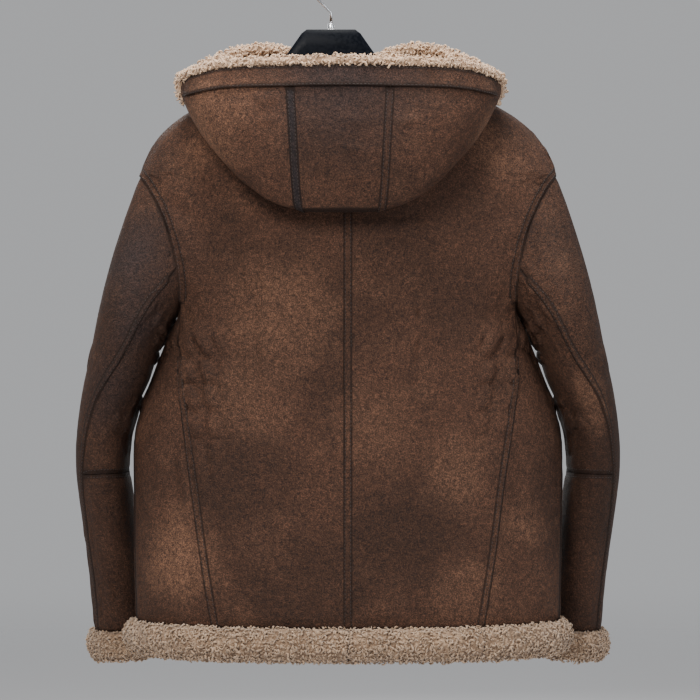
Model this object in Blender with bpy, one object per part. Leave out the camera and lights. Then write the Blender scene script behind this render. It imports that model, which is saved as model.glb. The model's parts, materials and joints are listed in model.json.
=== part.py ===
"""Hooded shearling jacket, closed in front, hanging on a wide-shoulder hanger.

Metres, +Z up.  The origin is the inside of the hook's crown.  The jacket's front faces -Y and its
back faces +Y, so the wearer's left is +X.  The torso is a bottle of superellipse rings cut by two
egg-shaped armholes.  Sleeves and hood are lofts that start on the armholes and on the neck ring,
and every wall is a slab on one of these surfaces.
"""
import math

import bmesh
import bpy
import numpy as np
from mathutils import Vector

# ---------------------------------------------------------------- driving dimensions (metres)
SEAM = 0.00016                 # each piece stops this far from a seam line
JACKET_X = -0.021              # the jacket hangs a little to one side of the hook
LEATHER = 0.0068               # skin and its wool, as one wall
ARMHOLE_THICK = 0.0026         # the wall is skived at the armhole seam
TAPE_WIDTH = 0.0110            # lapped seam strip
TAPE_THICK = 0.0014
TAPE_LIFT = 0.0005
TAPE_LIFT_TWISTED = 0.0016     # where the panel under a strip twists
TAPE_LIFT_RIDGE = 0.0030       # where a strip turns over the shoulder

HEM_Z = -0.8030                # lower edge of the leather
NECK_Z = -0.1240               # neck ring at the shoulder
FRONT_DROP = 0.0550            # how far the neckline dips at the centre front
UNDERARM = (0.2080, -0.4241)   # x, z of the lowest point of the armhole
SHOULDER_TIP = (0.2585, -0.2505)
ARMHOLE_DEPTH = 0.0750         # half its size front to back
ARMHOLE_BOW = 0.0190           # how far it is scooped towards the spine
ARMHOLE_EGG = 0.33             # how much narrower its top is
ARMHOLE_POWER = 2.2
ARMHOLE_STEPS = 10             # facets from shoulder tip to underarm
SIDE_STEPS = 2                 # of those, the ones that the side panel takes

# Torso rings below the underarm and above the shoulder tip: half width at height z.
SIDE_WIDTH = (
    # z, half width
    (-0.8030, 0.2665), (-0.7000, 0.2690), (-0.6565, 0.2690), (-0.6163, 0.2700), (-0.5791, 0.2700),
    (-0.5419, 0.2610), (-0.5047, 0.2440), (-0.4675, 0.2250), (-0.4489, 0.2155), (-0.4241, 0.2080),
)
WIDEST_FORWARD = (
    # z, how far the ring's widest place lies in front of the side seam
    (-0.8030, 0.0280), (-0.6000, 0.0300), (-0.5200, 0.0240), (-0.4600, 0.0070), (-0.4241, 0.0000),
)
RIDGE_WIDTH = (
    # z, half width
    (-0.2505, 0.2585), (-0.2257, 0.2488), (-0.2070, 0.2387), (-0.1885, 0.2210), (-0.1700, 0.1950),
    (-0.1460, 0.1450), (-0.1240, 0.0980),
)
TORSO_DEPTH = (
    # z, back, front, roundness power
    (-0.8030, 0.1000, 0.1100, 2.30), (-0.6200, 0.1020, 0.1130, 2.30), (-0.5000, 0.1040, 0.1140, 2.30),
    (-0.4241, 0.1040, 0.1120, 2.30), (-0.3360, 0.1040, 0.1060, 2.25), (-0.2505, 0.0940, 0.0980, 2.20),
    (-0.2070, 0.0840, 0.0900, 2.15), (-0.1700, 0.0730, 0.0850, 2.10), (-0.1240, 0.0550, 0.0780, 2.00),
)
SLANT_SEAM = (
    # z, x of the slanted back seam
    (-0.8030, 0.1610), (-0.7947, 0.1624), (-0.7140, 0.1755), (-0.6239, 0.1874), (-0.5290, 0.2007),
    (-0.4737, 0.2055), (-0.4088, 0.2052),
)
BODY_ROWS = 12
RIDGE_ROWS = 6
BACK_COLUMNS = 8
SIDE_COLUMNS = 4
FRONT_COLUMNS = 9

# Sleeve rings, from the armhole down: the outer and inner points of each, and its depth.
SLEEVE_RINGS = (
    # outer x, outer z, inner x, inner z, half depth, forward
    (0.2700, -0.2800, 0.2125, -0.4285, 0.0790, 0.000),
    (0.2815, -0.3150, 0.2190, -0.4340, 0.0840, 0.001),
    (0.2930, -0.3530, 0.2262, -0.4430, 0.0870, 0.003),
    (0.3035, -0.3930, 0.2320, -0.4590, 0.0880, 0.006),
    (0.3125, -0.4330, 0.2395, -0.4810, 0.0870, 0.011),
    (0.3205, -0.4730, 0.2470, -0.5060, 0.0840, 0.017),
    (0.3300, -0.5113, 0.2605, -0.5315, 0.0800, 0.024),
    (0.3368, -0.5488, 0.2722, -0.5569, 0.0760, 0.032),
    (0.3412, -0.5865, 0.2750, -0.5875, 0.0730, 0.040),
    (0.3419, -0.6223, 0.2740, -0.6203, 0.0700, 0.050),
    (0.3388, -0.6596, 0.2690, -0.6565, 0.0665, 0.064),
    (0.3348, -0.6994, 0.2640, -0.6953, 0.0625, 0.079),
    (0.3308, -0.7376, 0.2600, -0.7335, 0.0590, 0.093),
    (0.3276, -0.7756, 0.2565, -0.7714, 0.0560, 0.107),
    (0.3255, -0.8262, 0.2545, -0.8231, 0.0530, 0.120),
)
SLEEVE_BACK_SEAM = (
    # ring number, turn in degrees
    (0, 108.0), (3, 108.0), (5, 100.0), (7, 72.0), (9, 56.0), (11, 42.0), (13, 36.0), (15, 36.0),
)
SLEEVE_FRONT_SEAM = 252.0
ELBOW_RING = 10                # the under sleeve is pieced at this ring
UPPER_COLUMNS = 12
UNDER_COLUMNS = 8

# Hood, from the centre back (0) round to the throat (1): four points on each section after the
# neck.  Each row is one section, and each point is x, y, z on the leather side.
HOOD_SECTIONS = (
    # way round, under the fold, fold, outside, edge
    (0.00, (0.000, 0.096, -0.212), (0.000, 0.134, -0.305), (0.000, 0.167, -0.215), (0.000, 0.160, -0.1324)),
    (0.20, (0.064, 0.094, -0.208), (0.076, 0.131, -0.298), (0.087, 0.164, -0.210), (0.094, 0.156, -0.1338)),
    (0.40, (0.116, 0.082, -0.180), (0.142, 0.116, -0.243), (0.159, 0.143, -0.190), (0.166, 0.129, -0.1390)),
    (0.50, (0.136, 0.060, -0.160), (0.174, 0.088, -0.198), (0.189, 0.100, -0.172), (0.192, 0.084, -0.1440)),
    (0.60, (0.138, 0.000, -0.128), (0.176, 0.026, -0.150), (0.194, 0.034, -0.146), (0.193, 0.026, -0.1330)),
    (0.75, (0.102, -0.052, -0.122), (0.126, -0.052, -0.116), (0.142, -0.052, -0.108), (0.142, -0.052, -0.1010)),
    (0.88, (0.056, -0.090, -0.146), (0.070, -0.096, -0.124), (0.080, -0.098, -0.106), (0.082, -0.094, -0.0890)),
    (1.00, (0.011, -0.101, -0.164), (0.012, -0.112, -0.148), (0.013, -0.120, -0.132), (0.013, -0.123, -0.1160)),
)
HOOD_STAND = 0.0016            # the hood's first edge above the neck ring
HOOD_STEPS = 14
HOOD_HALF_COLUMNS = 4          # facets from the centre back to a hood seam
HOOD_SIDE_COLUMNS = 14
HOOD_SEAM_AT = 0.125           # where the hood's seams stand, on the way round
HOOD_SHIFT = 0.0090            # the hood hangs over to one side
HOOD_SHIFT_FROM = 0.60         # share of the way from neck to edge where it has all of that
HOOD_END_AT = 0.985
BINDING_HEIGHT = 0.0245
BINDING_THICK = 0.0016
BINDING_LIFT = 0.0014

# Wool rolls: how proud the pile stands, outside and inside, from the leather's edge to the end.
HEM_ROLL = (
    # down, outside, inside
    (0.0000, 0.0050, 0.0080), (0.0060, 0.0115, 0.0110), (0.0180, 0.0150, 0.0120),
    (0.0300, 0.0125, 0.0110), (0.0390, 0.0040, 0.0060),
)
CUFF_ROLL = (
    # down, outside, inside
    (0.0000, 0.0030, 0.0080), (0.0070, 0.0085, 0.0090), (0.0190, 0.0105, 0.0100),
    (0.0300, 0.0090, 0.0090), (0.0380, 0.0030, 0.0060),
)
RIM_GAP = 0.0014
RIM_ROLL = (
    # down, outside, inside
    (0.0000, 0.0020, 0.0085), (0.0035, 0.0050, 0.0100), (0.0080, 0.0040, 0.0090), (0.0115, -0.0010, 0.0050),
)

FLY_HALF = 0.0290              # the fly that covers the centre front
FLY_THICK = 0.0030
FLY_TOP_ROW = 3                # rows left free below the neck
BUTTON_COUNT = 5
BUTTON_TOP_Z = -0.2150
BUTTON_PITCH = 0.1250
BUTTON_PROFILE = (
    # radius, height above the fly
    (0.0000, 0.0042), (0.0085, 0.0042), (0.0112, 0.0052), (0.0120, 0.0036), (0.0095, 0.0016),
    (0.0000, 0.0004),
)
BUTTON_STEPS = 14

# Hanger: sections of the shoulder block from its middle to one end.
HANGER_SECTIONS = (
    # x, top, bottom, half depth
    (0.0000, -0.0694, -0.1500, 0.0090), (0.0300, -0.0696, -0.1500, 0.0090),
    (0.0365, -0.0745, -0.1510, 0.0090), (0.0577, -0.1050, -0.1560, 0.0095),
    (0.0670, -0.1230, -0.1600, 0.0105), (0.0740, -0.1360, -0.1640, 0.0115),
    (0.0900, -0.1490, -0.1720, 0.0135), (0.1300, -0.1680, -0.1930, 0.0170),
    (0.1600, -0.1840, -0.2100, 0.0200), (0.1800, -0.1990, -0.2250, 0.0200),
    (0.1920, -0.2130, -0.2320, 0.0160), (0.1970, -0.2200, -0.2300, 0.0090),
)
HANGER_ROUND_STEPS = 12
HANGER_ROUND_POWER = 0.6
HOOK_WIRE = 0.0018             # radius
HOOK_RADIUS = 0.0210
HOOK_STEPS = 20
COLLAR_RADIUS = 0.0046
COLLAR_HEIGHT = 0.0060

SURFACE_STEP = 0.0004          # for slopes taken by small differences

COLOURS = {
    # base colour, roughness, metallic
    "leather": ((0.150, 0.078, 0.045, 1.0), 0.62, 0.0),
    "sleeve_leather": ((0.110, 0.060, 0.038, 1.0), 0.62, 0.0),
    "seam_tape": ((0.080, 0.045, 0.032, 1.0), 0.60, 0.0),
    "wool": ((0.560, 0.430, 0.320, 1.0), 0.95, 0.0),
    "horn": ((0.050, 0.028, 0.016, 1.0), 0.30, 0.0),
    "hanger_plastic": ((0.012, 0.013, 0.018, 1.0), 0.30, 0.0),
    "hook_steel": ((0.550, 0.560, 0.580, 1.0), 0.25, 1.0),
}


# ---------------------------------------------------------------- curves through tables
def slopes_of(knots, values):
    """Slopes for a smooth curve through the knots that never overshoots them."""
    step = np.diff(knots)
    rise = np.diff(values) / step
    slope = np.zeros(len(knots))
    slope[0], slope[-1] = rise[0], rise[-1]
    for i in range(1, len(knots) - 1):
        if rise[i - 1] * rise[i] > 0.0:
            before, after = 2 * step[i] + step[i - 1], step[i] + 2 * step[i - 1]
            slope[i] = (before + after) / (before / rise[i - 1] + after / rise[i])
    return slope


def table_curve(rows, column, key=0):
    """A smooth function of the key column, straight beyond the table's ends."""
    knots = np.array([row[key] for row in rows], dtype=float)
    values = np.array([row[column] for row in rows], dtype=float)
    slope = slopes_of(knots, values)

    def value(x):
        if x <= knots[0]:
            return values[0] + slope[0] * (x - knots[0])
        if x >= knots[-1]:
            return values[-1] + slope[-1] * (x - knots[-1])
        i = int(np.searchsorted(knots, x)) - 1
        width = knots[i + 1] - knots[i]
        t = (x - knots[i]) / width
        return ((1 + 2 * t) * (1 - t) ** 2 * values[i] + t * (1 - t) ** 2 * width * slope[i]
                + t * t * (3 - 2 * t) * values[i + 1] + t * t * (t - 1) * width * slope[i + 1])
    return value


def natural_spline(knots, points):
    """A smooth function through points of any dimension, straight beyond the ends."""
    knots, points = np.array(knots, dtype=float), np.array(points, dtype=float)
    count = len(knots)
    step = np.diff(knots)
    matrix, right = np.eye(count), np.zeros_like(points)
    for i in range(1, count - 1):
        matrix[i, i - 1], matrix[i, i], matrix[i, i + 1] = step[i - 1], 2 * (step[i - 1] + step[i]), step[i]
        right[i] = 6 * ((points[i + 1] - points[i]) / step[i] - (points[i] - points[i - 1]) / step[i - 1])
    bend = np.linalg.solve(matrix, right)

    def value(x):
        if x < knots[0]:
            return value(knots[0]) + (x - knots[0]) * (value(knots[0] + 1e-4) - value(knots[0])) / 1e-4
        if x > knots[-1]:
            return value(knots[-1]) + (x - knots[-1]) * (value(knots[-1]) - value(knots[-1] - 1e-4)) / 1e-4
        i = min(int(np.searchsorted(knots, x, side="right")) - 1, count - 2)
        a, b = (knots[i + 1] - x) / step[i], (x - knots[i]) / step[i]
        return (a * points[i] + b * points[i + 1]
                + ((a ** 3 - a) * bend[i] + (b ** 3 - b) * bend[i + 1]) * step[i] ** 2 / 6)
    return value


def signed_power(value, power):
    return math.copysign(abs(value) ** power, value)


def unit(vector):
    return vector / np.linalg.norm(vector)


def mix(a, b, t):
    return a + (b - a) * t


# ---------------------------------------------------------------- armhole and torso
TIP = np.array([SHOULDER_TIP[0], 0.0, SHOULDER_TIP[1]])
PIT = np.array([UNDERARM[0], 0.0, UNDERARM[1]])
TO_SPINE = np.array([-1.0, 0.0, 0.0])
QUARTER = math.pi / 2


def armhole_sides(level):
    """x and y of the armhole at a level from -1, the underarm, to 1, the shoulder tip."""
    level = max(-1.0, min(1.0, level))
    spread = (1.0 - abs(level) ** ARMHOLE_POWER) ** (1.0 / ARMHOLE_POWER)
    x = mix(PIT[0], TIP[0], (level + 1) / 2) - ARMHOLE_BOW * spread ** 2
    y = ARMHOLE_DEPTH * spread * (1.0 - ARMHOLE_EGG * (level + 1) / 2)
    return x, y


def armhole_level(step):
    """The level of a facet corner, counted from the shoulder tip."""
    return signed_power(math.cos(math.pi * step / ARMHOLE_STEPS), 2.0 / ARMHOLE_POWER)


def height_at(level):
    return mix(PIT[2], TIP[2], (level + 1) / 2)


side_width = table_curve(SIDE_WIDTH, 1)
ridge_width = table_curve(RIDGE_WIDTH, 1)
back_depth = table_curve(TORSO_DEPTH, 1)
front_depth = table_curve(TORSO_DEPTH, 2)
roundness = table_curve(TORSO_DEPTH, 3)
widest_forward = table_curve(WIDEST_FORWARD, 1)
slant_x = table_curve(SLANT_SEAM, 1)


def depth_at(z, side):
    return back_depth(z) if side > 0 else front_depth(z)


def half_width(z, side):
    """Half width of the torso ring, which runs on past the armhole where there is one."""
    if z <= PIT[2]:
        return side_width(z)
    if z >= TIP[2]:
        return ridge_width(z)
    level = 2 * (z - PIT[2]) / (TIP[2] - PIT[2]) - 1
    x, y = armhole_sides(level)
    power = roundness(z)
    return x / (1.0 - (y / depth_at(z, side)) ** power) ** (1.0 / power)


def ring_forward(z):
    return widest_forward(z) if z < PIT[2] else 0.0


def seam_angle(z):
    """Angle of the side seam on the ring, counted from the ring's widest place to the back."""
    forward = ring_forward(z)
    return math.asin((forward / (back_depth(z) + forward)) ** (roundness(z) / 2.0))


def armhole_turn(z, side):
    """Turn at which the torso ring meets the armhole; 0 is the side seam, a quarter is the middle."""
    if z <= PIT[2] or z >= TIP[2]:
        return 0.0
    level = 2 * (z - PIT[2]) / (TIP[2] - PIT[2]) - 1
    share = armhole_sides(level)[1] / depth_at(z, side)
    return math.asin(share ** (roundness(z) / 2.0))


def turn_at_x(x, z, side):
    angle = math.acos(min(1.0, (x / half_width(z, side)) ** (roundness(z) / 2.0)))
    start = side * seam_angle(z)
    return (angle - start) / (QUARTER - start) * QUARTER


def neck_drop(z):
    share = max(0.0, min(1.0, (z - TIP[2]) / (NECK_Z - TIP[2])))
    return FRONT_DROP * share * share * (3 - 2 * share)


def torso_point(turn, z, side):
    power = 2.0 / roundness(z)
    angle = mix(seam_angle(z), side * QUARTER, turn / QUARTER)
    forward = ring_forward(z)
    depth = back_depth(z) + forward if angle > 0.0 else front_depth(z) - forward
    x = half_width(z, side) * signed_power(math.cos(angle), power)
    y = depth * signed_power(math.sin(angle), power) - forward
    if side < 0:
        z = z - neck_drop(z) * math.sin(turn) ** 2
    return np.array([x, y, z])


def torso_normal(turn, z, side):
    step = SURFACE_STEP
    around = torso_point(turn + step, z, side) - torso_point(turn - step, z, side)
    up = torso_point(turn, z + step, side) - torso_point(turn, z - step, side)
    return side * unit(np.cross(around, up))


# ---------------------------------------------------------------- sleeve
def sleeve_table():
    first = (TIP[0], TIP[2], PIT[0], PIT[2], ARMHOLE_DEPTH, 0.0)
    rows = [(0.0,) + first]
    rows += [(float(i + 1),) + row for i, row in enumerate(SLEEVE_RINGS)]
    return rows


SLEEVE_ROWS = sleeve_table()
SLEEVE_LAST = len(SLEEVE_ROWS) - 1
sleeve_ring = natural_spline([row[0] for row in SLEEVE_ROWS], [row[1:] for row in SLEEVE_ROWS])
sleeve_seam_turn = table_curve(SLEEVE_BACK_SEAM, 1)
CAP_RINGS = 4.0                # the armhole's scoop and egg shape fade out over these rings


def sleeve_point(ring, turn):
    """Turn 0 is the outer side, a quarter turn is the back."""
    outer_x, outer_z, inner_x, inner_z, depth, forward = sleeve_ring(ring)
    level = signed_power(math.cos(turn), 2.0 / ARMHOLE_POWER)
    spread = signed_power(math.sin(turn), 2.0 / ARMHOLE_POWER)
    cap = max(0.0, 1.0 - ring / CAP_RINGS)
    cap = cap * cap * (3 - 2 * cap)
    x = mix(inner_x, outer_x, (level + 1) / 2) - cap * ARMHOLE_BOW * spread ** 2
    y = depth * spread * (1.0 - cap * ARMHOLE_EGG * (level + 1) / 2) - forward
    z = mix(inner_z, outer_z, (level + 1) / 2)
    return np.array([x, y, z])


def sleeve_normal(ring, turn):
    step = 0.01
    start = max(ring - step, 0.0)
    around = sleeve_point(ring, turn + step) - sleeve_point(ring, turn - step)
    down = sleeve_point(ring + step, turn) - sleeve_point(start, turn)
    return unit(np.cross(down, around))


SLEEVE_LEAN = 0.30             # how far the seam's face leans from the torso's square to the sleeve's


def armhole_normal(step, side):
    """The direction that torso and sleeve share along their seam."""
    level = armhole_level(step)
    z = height_at(level)
    if step == ARMHOLE_STEPS:
        torso = torso_normal(0.0, z - 8 * SURFACE_STEP, side)
    else:
        torso = torso_normal(armhole_turn(z, side), z, side)
    sleeve = sleeve_normal(0.0, side * math.pi * step / ARMHOLE_STEPS)
    return unit(torso + SLEEVE_LEAN * sleeve)


# ---------------------------------------------------------------- hood
def neck_point(way):
    """Neck ring from the centre back, 0, to the centre front, 1."""
    turn = math.pi * (0.5 - way)
    side = 1 if turn >= 0 else -1
    return torso_point(abs(turn), NECK_Z, side) + np.array([0.0, 0.0, HOOD_STAND])


def hood_way_table():
    knots, points = [], []
    mirror = np.array([-1.0, 1.0, 1.0])
    for row in reversed(HOOD_SECTIONS[1:]):
        knots.append(-row[0])
        points.append(np.concatenate([np.array(p) * mirror for p in row[1:]]))
    for row in HOOD_SECTIONS:
        knots.append(row[0])
        points.append(np.concatenate([np.array(p) for p in row[1:]]))
    return natural_spline(knots, points)


hood_controls = hood_way_table()


def hood_section(way):
    """The section's curve by length from the neck, and its whole length."""
    controls = hood_controls(way).reshape(4, 3)
    start = neck_point(abs(way))
    start[0] = math.copysign(start[0], way) if way else 0.0
    points = [start] + list(controls)
    lengths = np.concatenate([[0.0], np.cumsum([np.linalg.norm(b - a) for a, b in zip(points, points[1:])])])
    curve = natural_spline(lengths, points)
    return curve, lengths[-1]


def hood_point(way, share, beyond=0.0):
    curve, length = hood_section(way)
    return curve(share * length + beyond)


def hood_normal(way, share, beyond=0.0):
    step = 0.004
    low = max(share - step, 0.0)
    along = hood_point(way, share + step, beyond) - hood_point(way, low, beyond)
    around = hood_point(way + step, share, beyond) - hood_point(way - step, share, beyond)
    return unit(np.cross(along, around))


# ---------------------------------------------------------------- building meshes
def make_collection():
    for obj in list(bpy.data.objects):
        bpy.data.objects.remove(obj)
    collection = bpy.data.collections.new("hooded_jacket_on_hanger")
    bpy.context.scene.collection.children.link(collection)
    return collection


def make_materials():
    made = {}
    for name, (colour, roughness_value, metallic) in COLOURS.items():
        material = bpy.data.materials.new(name)
        material.use_nodes = True
        shader = material.node_tree.nodes["Principled BSDF"]
        shader.inputs["Base Color"].default_value = colour
        shader.inputs["Roughness"].default_value = roughness_value
        shader.inputs["Metallic"].default_value = metallic
        made[name] = material
    return made


def finish_object(bm, name, material, collection):
    bmesh.ops.recalc_face_normals(bm, faces=bm.faces)
    if bm.calc_volume(signed=True) < 0.0:
        bmesh.ops.reverse_faces(bm, faces=bm.faces)
    mesh = bpy.data.meshes.new(name)
    bm.to_mesh(mesh)
    bm.free()
    mesh.shade_smooth()
    mesh.set_sharp_from_angle(angle=math.radians(40))
    mesh.materials.append(material)
    obj = bpy.data.objects.new(name, mesh)
    collection.objects.link(obj)
    return obj


def slab(name, points, normals, outside, inside, material, collection):
    """A closed wall on a grid of points.

    outside and inside are grids of distances from the surface to the wall's two faces.
    """
    rows, columns = points.shape[0] - 1, points.shape[1] - 1
    bm = bmesh.new()
    bmesh.ops.create_grid(bm, x_segments=columns, y_segments=rows, size=0.5)
    outer_faces = list(bm.faces)
    made = bmesh.ops.extrude_face_region(bm, geom=outer_faces)
    new_verts = {v for v in made["geom"] if isinstance(v, bmesh.types.BMVert)}
    for vert in bm.verts:
        i = int(round((vert.co.x + 0.5) * columns))
        j = int(round((vert.co.y + 0.5) * rows))
        reach = -inside[j, i] if vert in new_verts else outside[j, i]
        vert.co = points[j, i] + reach * normals[j, i]
    split_rims(bm, new_verts)
    return finish_object(bm, name, material, collection)


def split_rims(bm, inner_verts):
    """Split each face of a wall's rim from its lower outer corner, so that neighbours' rims match."""
    for face in list(bm.faces):
        inner = [v for v in face.verts if v in inner_verts]
        outer = [v for v in face.verts if v not in inner_verts]
        if len(inner) != 2 or len(outer) != 2:
            continue
        lower = min(outer, key=lambda v: v.co.dot(RIM_ORDER))
        across = next(v for v in inner if not any(lower in e.verts for e in v.link_edges))
        bmesh.utils.face_split(face, lower, across)


RIM_ORDER = Vector((0.0, 0.37, 1.0))


def even(shape, value):
    return np.full(shape[:2], value)


def inset(points, normals, edges, leaning=None):
    """Pull the grid's edges in by the seam allowance.

    edges names them: left, right, low, high.  leaning gives, for an edge on the armhole, the rows
    or columns on it, and 1 for the torso's side of the seam or -1 for the sleeve's.
    """
    result = points.copy()
    sides = {
        "left": (np.s_[:, 0], points[:, 1] - points[:, 0]),
        "right": (np.s_[:, -1], points[:, -2] - points[:, -1]),
        "low": (np.s_[0], points[1] - points[0]),
        "high": (np.s_[-1], points[-2] - points[-1]),
    }
    for name in edges:
        where, inward = sides[name]
        if leaning and name in leaning:
            on_armhole, seam_side = leaning[name]
            spread = points[where][on_armhole] - (TIP + PIT) / 2
            spread /= np.linalg.norm(spread, axis=1)[:, None]
            inward[on_armhole] = seam_side * (spread + TO_SPINE)
        edge = np.gradient(points[where], axis=0)
        across = np.cross(edge, normals[where])
        across /= np.linalg.norm(across, axis=1)[:, None]
        across *= np.sign(np.sum(across * inward, axis=1))[:, None]
        on_sleeve = leaning and name in leaning and leaning[name][1] < 0
        result[where] += (3 * SEAM if on_sleeve else SEAM) * across
    return result


def to_side(points, hand):
    """Mirror for the wearer's right, hand -1."""
    return points * np.array([hand, 1.0, 1.0])


def placed(points):
    """From the jacket's own middle to the hook's frame."""
    return points + np.array([JACKET_X, 0.0, 0.0])


# ---------------------------------------------------------------- torso panels
ROW_SAMPLES = 60


def spaced(samples, columns):
    """Shares along a run of points that give columns of equal width."""
    steps = np.linalg.norm(np.diff(samples, axis=0), axis=1)
    length = np.concatenate([[0.0], np.cumsum(steps)])
    wanted = np.linspace(0.0, length[-1], columns + 1)
    return np.interp(wanted, length, np.linspace(0.0, 1.0, len(samples)))


def torso_row(turn_start, turn_end, z_start, z_end, side, columns):
    """One row of points and normals between two places on the torso."""
    shares = np.linspace(0.0, 1.0, ROW_SAMPLES)

    def place(t):
        return mix(turn_start, turn_end, t), mix(z_start, z_end, t), side

    places = spaced(np.array([torso_point(*place(t)) for t in shares]), columns)
    points = [torso_point(*place(t)) for t in places]
    return np.array(points), np.array([torso_normal(*place(t)) for t in places])


def armhole_heights(first, last):
    return [height_at(armhole_level(step)) for step in range(first, last - 1, -1)]


def ridge_heights():
    return list(np.linspace(TIP[2], NECK_Z, RIDGE_ROWS + 1))[1:]


def back_panel():
    top_step = ARMHOLE_STEPS - SIDE_STEPS
    meet = height_at(armhole_level(top_step))
    heights = list(np.linspace(HEM_Z, meet, BODY_ROWS + 1))
    heights += armhole_heights(top_step - 1, 0) + ridge_heights()
    points, normals = [], []
    for j, z in enumerate(heights):
        edge = turn_at_x(slant_x(z), z, 1) if j < BODY_ROWS else armhole_turn(z, 1)
        row, row_normals = torso_row(QUARTER, edge, z, z, 1, BACK_COLUMNS)
        if BODY_ROWS <= j <= BODY_ROWS + top_step:
            row_normals[-1] = armhole_normal(top_step - (j - BODY_ROWS), 1)
        points.append(row)
        normals.append(row_normals)
    return np.array(points), np.array(normals)


def side_panel():
    """From the side seam to the slanted back seam. Its top follows the armhole."""
    top_step = ARMHOLE_STEPS - SIDE_STEPS
    meet = height_at(armhole_level(top_step))
    points, normals = [], []
    for j in range(BODY_ROWS + 1):
        share = j / BODY_ROWS
        z_side, z_slant = mix(HEM_Z, PIT[2], share), mix(HEM_Z, meet, share)
        edge = turn_at_x(slant_x(z_slant), z_slant, 1)
        if j < BODY_ROWS:
            row, row_normals = torso_row(0.0, edge, z_side, z_slant, 1, SIDE_COLUMNS)
        else:
            row, row_normals = armhole_run(ARMHOLE_STEPS, top_step, SIDE_COLUMNS)
        points.append(row)
        normals.append(row_normals)
    return np.array(points), np.array(normals)


def armhole_run(first, last, columns):
    """Points on the facets of the armhole's back, from one step to another."""
    steps = list(range(first, last - 1, -1))
    corners, directions = [], []
    for step in steps:
        x, y = armhole_sides(armhole_level(step))
        corners.append(np.array([x, y, height_at(armhole_level(step))]))
        directions.append(armhole_normal(step, 1))
    places = np.linspace(0.0, len(steps) - 1, columns + 1)
    points, normals = [], []
    for place in places:
        i = min(int(place), len(steps) - 2)
        points.append(mix(corners[i], corners[i + 1], place - i))
        normals.append(unit(mix(directions[i], directions[i + 1], place - i)))
    return np.array(points), np.array(normals)


def front_panel():
    heights = list(np.linspace(HEM_Z, PIT[2], BODY_ROWS + 1))
    heights += armhole_heights(ARMHOLE_STEPS - 1, 0) + ridge_heights()
    points, normals = [], []
    for j, z in enumerate(heights):
        row, row_normals = torso_row(QUARTER, armhole_turn(z, -1), z, z, -1, FRONT_COLUMNS)
        if BODY_ROWS <= j <= BODY_ROWS + ARMHOLE_STEPS:
            row_normals[-1] = armhole_normal(ARMHOLE_STEPS - (j - BODY_ROWS), -1)
        points.append(row)
        normals.append(row_normals)
    return np.array(points), np.array(normals)


def build_torso(materials, collection):
    back, side, front = back_panel(), side_panel(), front_panel()
    back_armhole = slice(BODY_ROWS, BODY_ROWS + ARMHOLE_STEPS - SIDE_STEPS)
    front_armhole = slice(BODY_ROWS, BODY_ROWS + ARMHOLE_STEPS)
    pieces = (
        # name, grid, edges pulled in, the stretch on the armhole
        ("back", back, ("left", "right"), {"right": (back_armhole, 1)}),
        ("side", side, ("left", "right", "high"), {"high": (slice(None), 1)}),
        ("front", front, ("left", "right"), {"right": (front_armhole, 1)}),
    )
    for label, hand in (("left", 1), ("right", -1)):
        for name, (points, normals), edges, leaning in pieces:
            grid = inset(points, normals, edges, leaning)
            thick = even(points.shape, LEATHER)
            if "right" in leaning:
                thick[leaning["right"][0], -1] = ARMHOLE_THICK
            else:
                thick[-1] = ARMHOLE_THICK
            slab(f"{name}_{label}", placed(to_side(grid, hand)), to_side(normals, hand),
                 even(points.shape, 0.0), thick, materials["leather"], collection)
    return back, side, front


# ---------------------------------------------------------------- sleeves
def sleeve_panel(first_ring, last_ring, front):
    """The upper sleeve when front is True, else the under sleeve."""
    columns = UPPER_COLUMNS if front else UNDER_COLUMNS
    points, normals = [], []
    for ring in range(first_ring, last_ring + 1):
        seam = sleeve_seam_turn(float(ring))
        start, end = (SLEEVE_FRONT_SEAM - 360.0, seam) if front else (seam, SLEEVE_FRONT_SEAM)
        row, row_normals = [], []
        for i in range(columns + 1):
            turn = math.radians(mix(start, end, i / columns))
            row.append(sleeve_point(float(ring), turn))
            row_normals.append(sleeve_normal(float(ring), turn))
        if ring == 0:
            row_normals = [first_ring_normal(mix(start, end, i / columns)) for i in range(columns + 1)]
        points.append(row)
        normals.append(row_normals)
    return np.array(points), np.array(normals)


def first_ring_normal(degrees):
    degrees = (degrees + 180.0) % 360.0 - 180.0
    side = 1 if degrees >= 0 else -1
    return armhole_normal(round(abs(degrees) * ARMHOLE_STEPS / 180.0), side)


def build_sleeves(materials, collection):
    upper = sleeve_panel(0, SLEEVE_LAST, True)
    under_top = sleeve_panel(0, ELBOW_RING, False)
    under_low = sleeve_panel(ELBOW_RING, SLEEVE_LAST, False)
    for label, hand in (("left", 1), ("right", -1)):
        for name, (points, normals) in (("upper_sleeve", upper), ("under_sleeve", under_top),
                                        ("lower_under_sleeve", under_low)):
            leaning = {} if name.startswith("lower") else {"low": (slice(None), -1)}
            grid = inset(points, normals, ("left", "right", "low", "high"), leaning)
            thick = even(points.shape, LEATHER)
            if leaning:
                thick[0] = ARMHOLE_THICK
            slab(f"{name}_{label}", placed(to_side(grid, hand)), to_side(normals, hand),
                 even(points.shape, 0.0), thick, materials["sleeve_leather"], collection)
    return upper, under_top, under_low


# ---------------------------------------------------------------- hood
def hood_grid(first, last, columns, low, high, steps):
    """Rows run from the neck, 0, to the edge, 1, and columns round the hood."""
    ways = np.linspace(first, last, columns + 1)
    shares = np.linspace(low, high, steps + 1)
    points = np.array([[hood_point(way, share) for way in ways] for share in shares])
    normals = np.array([[hood_normal(way, share) for way in ways] for share in shares])
    return points, normals


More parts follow.
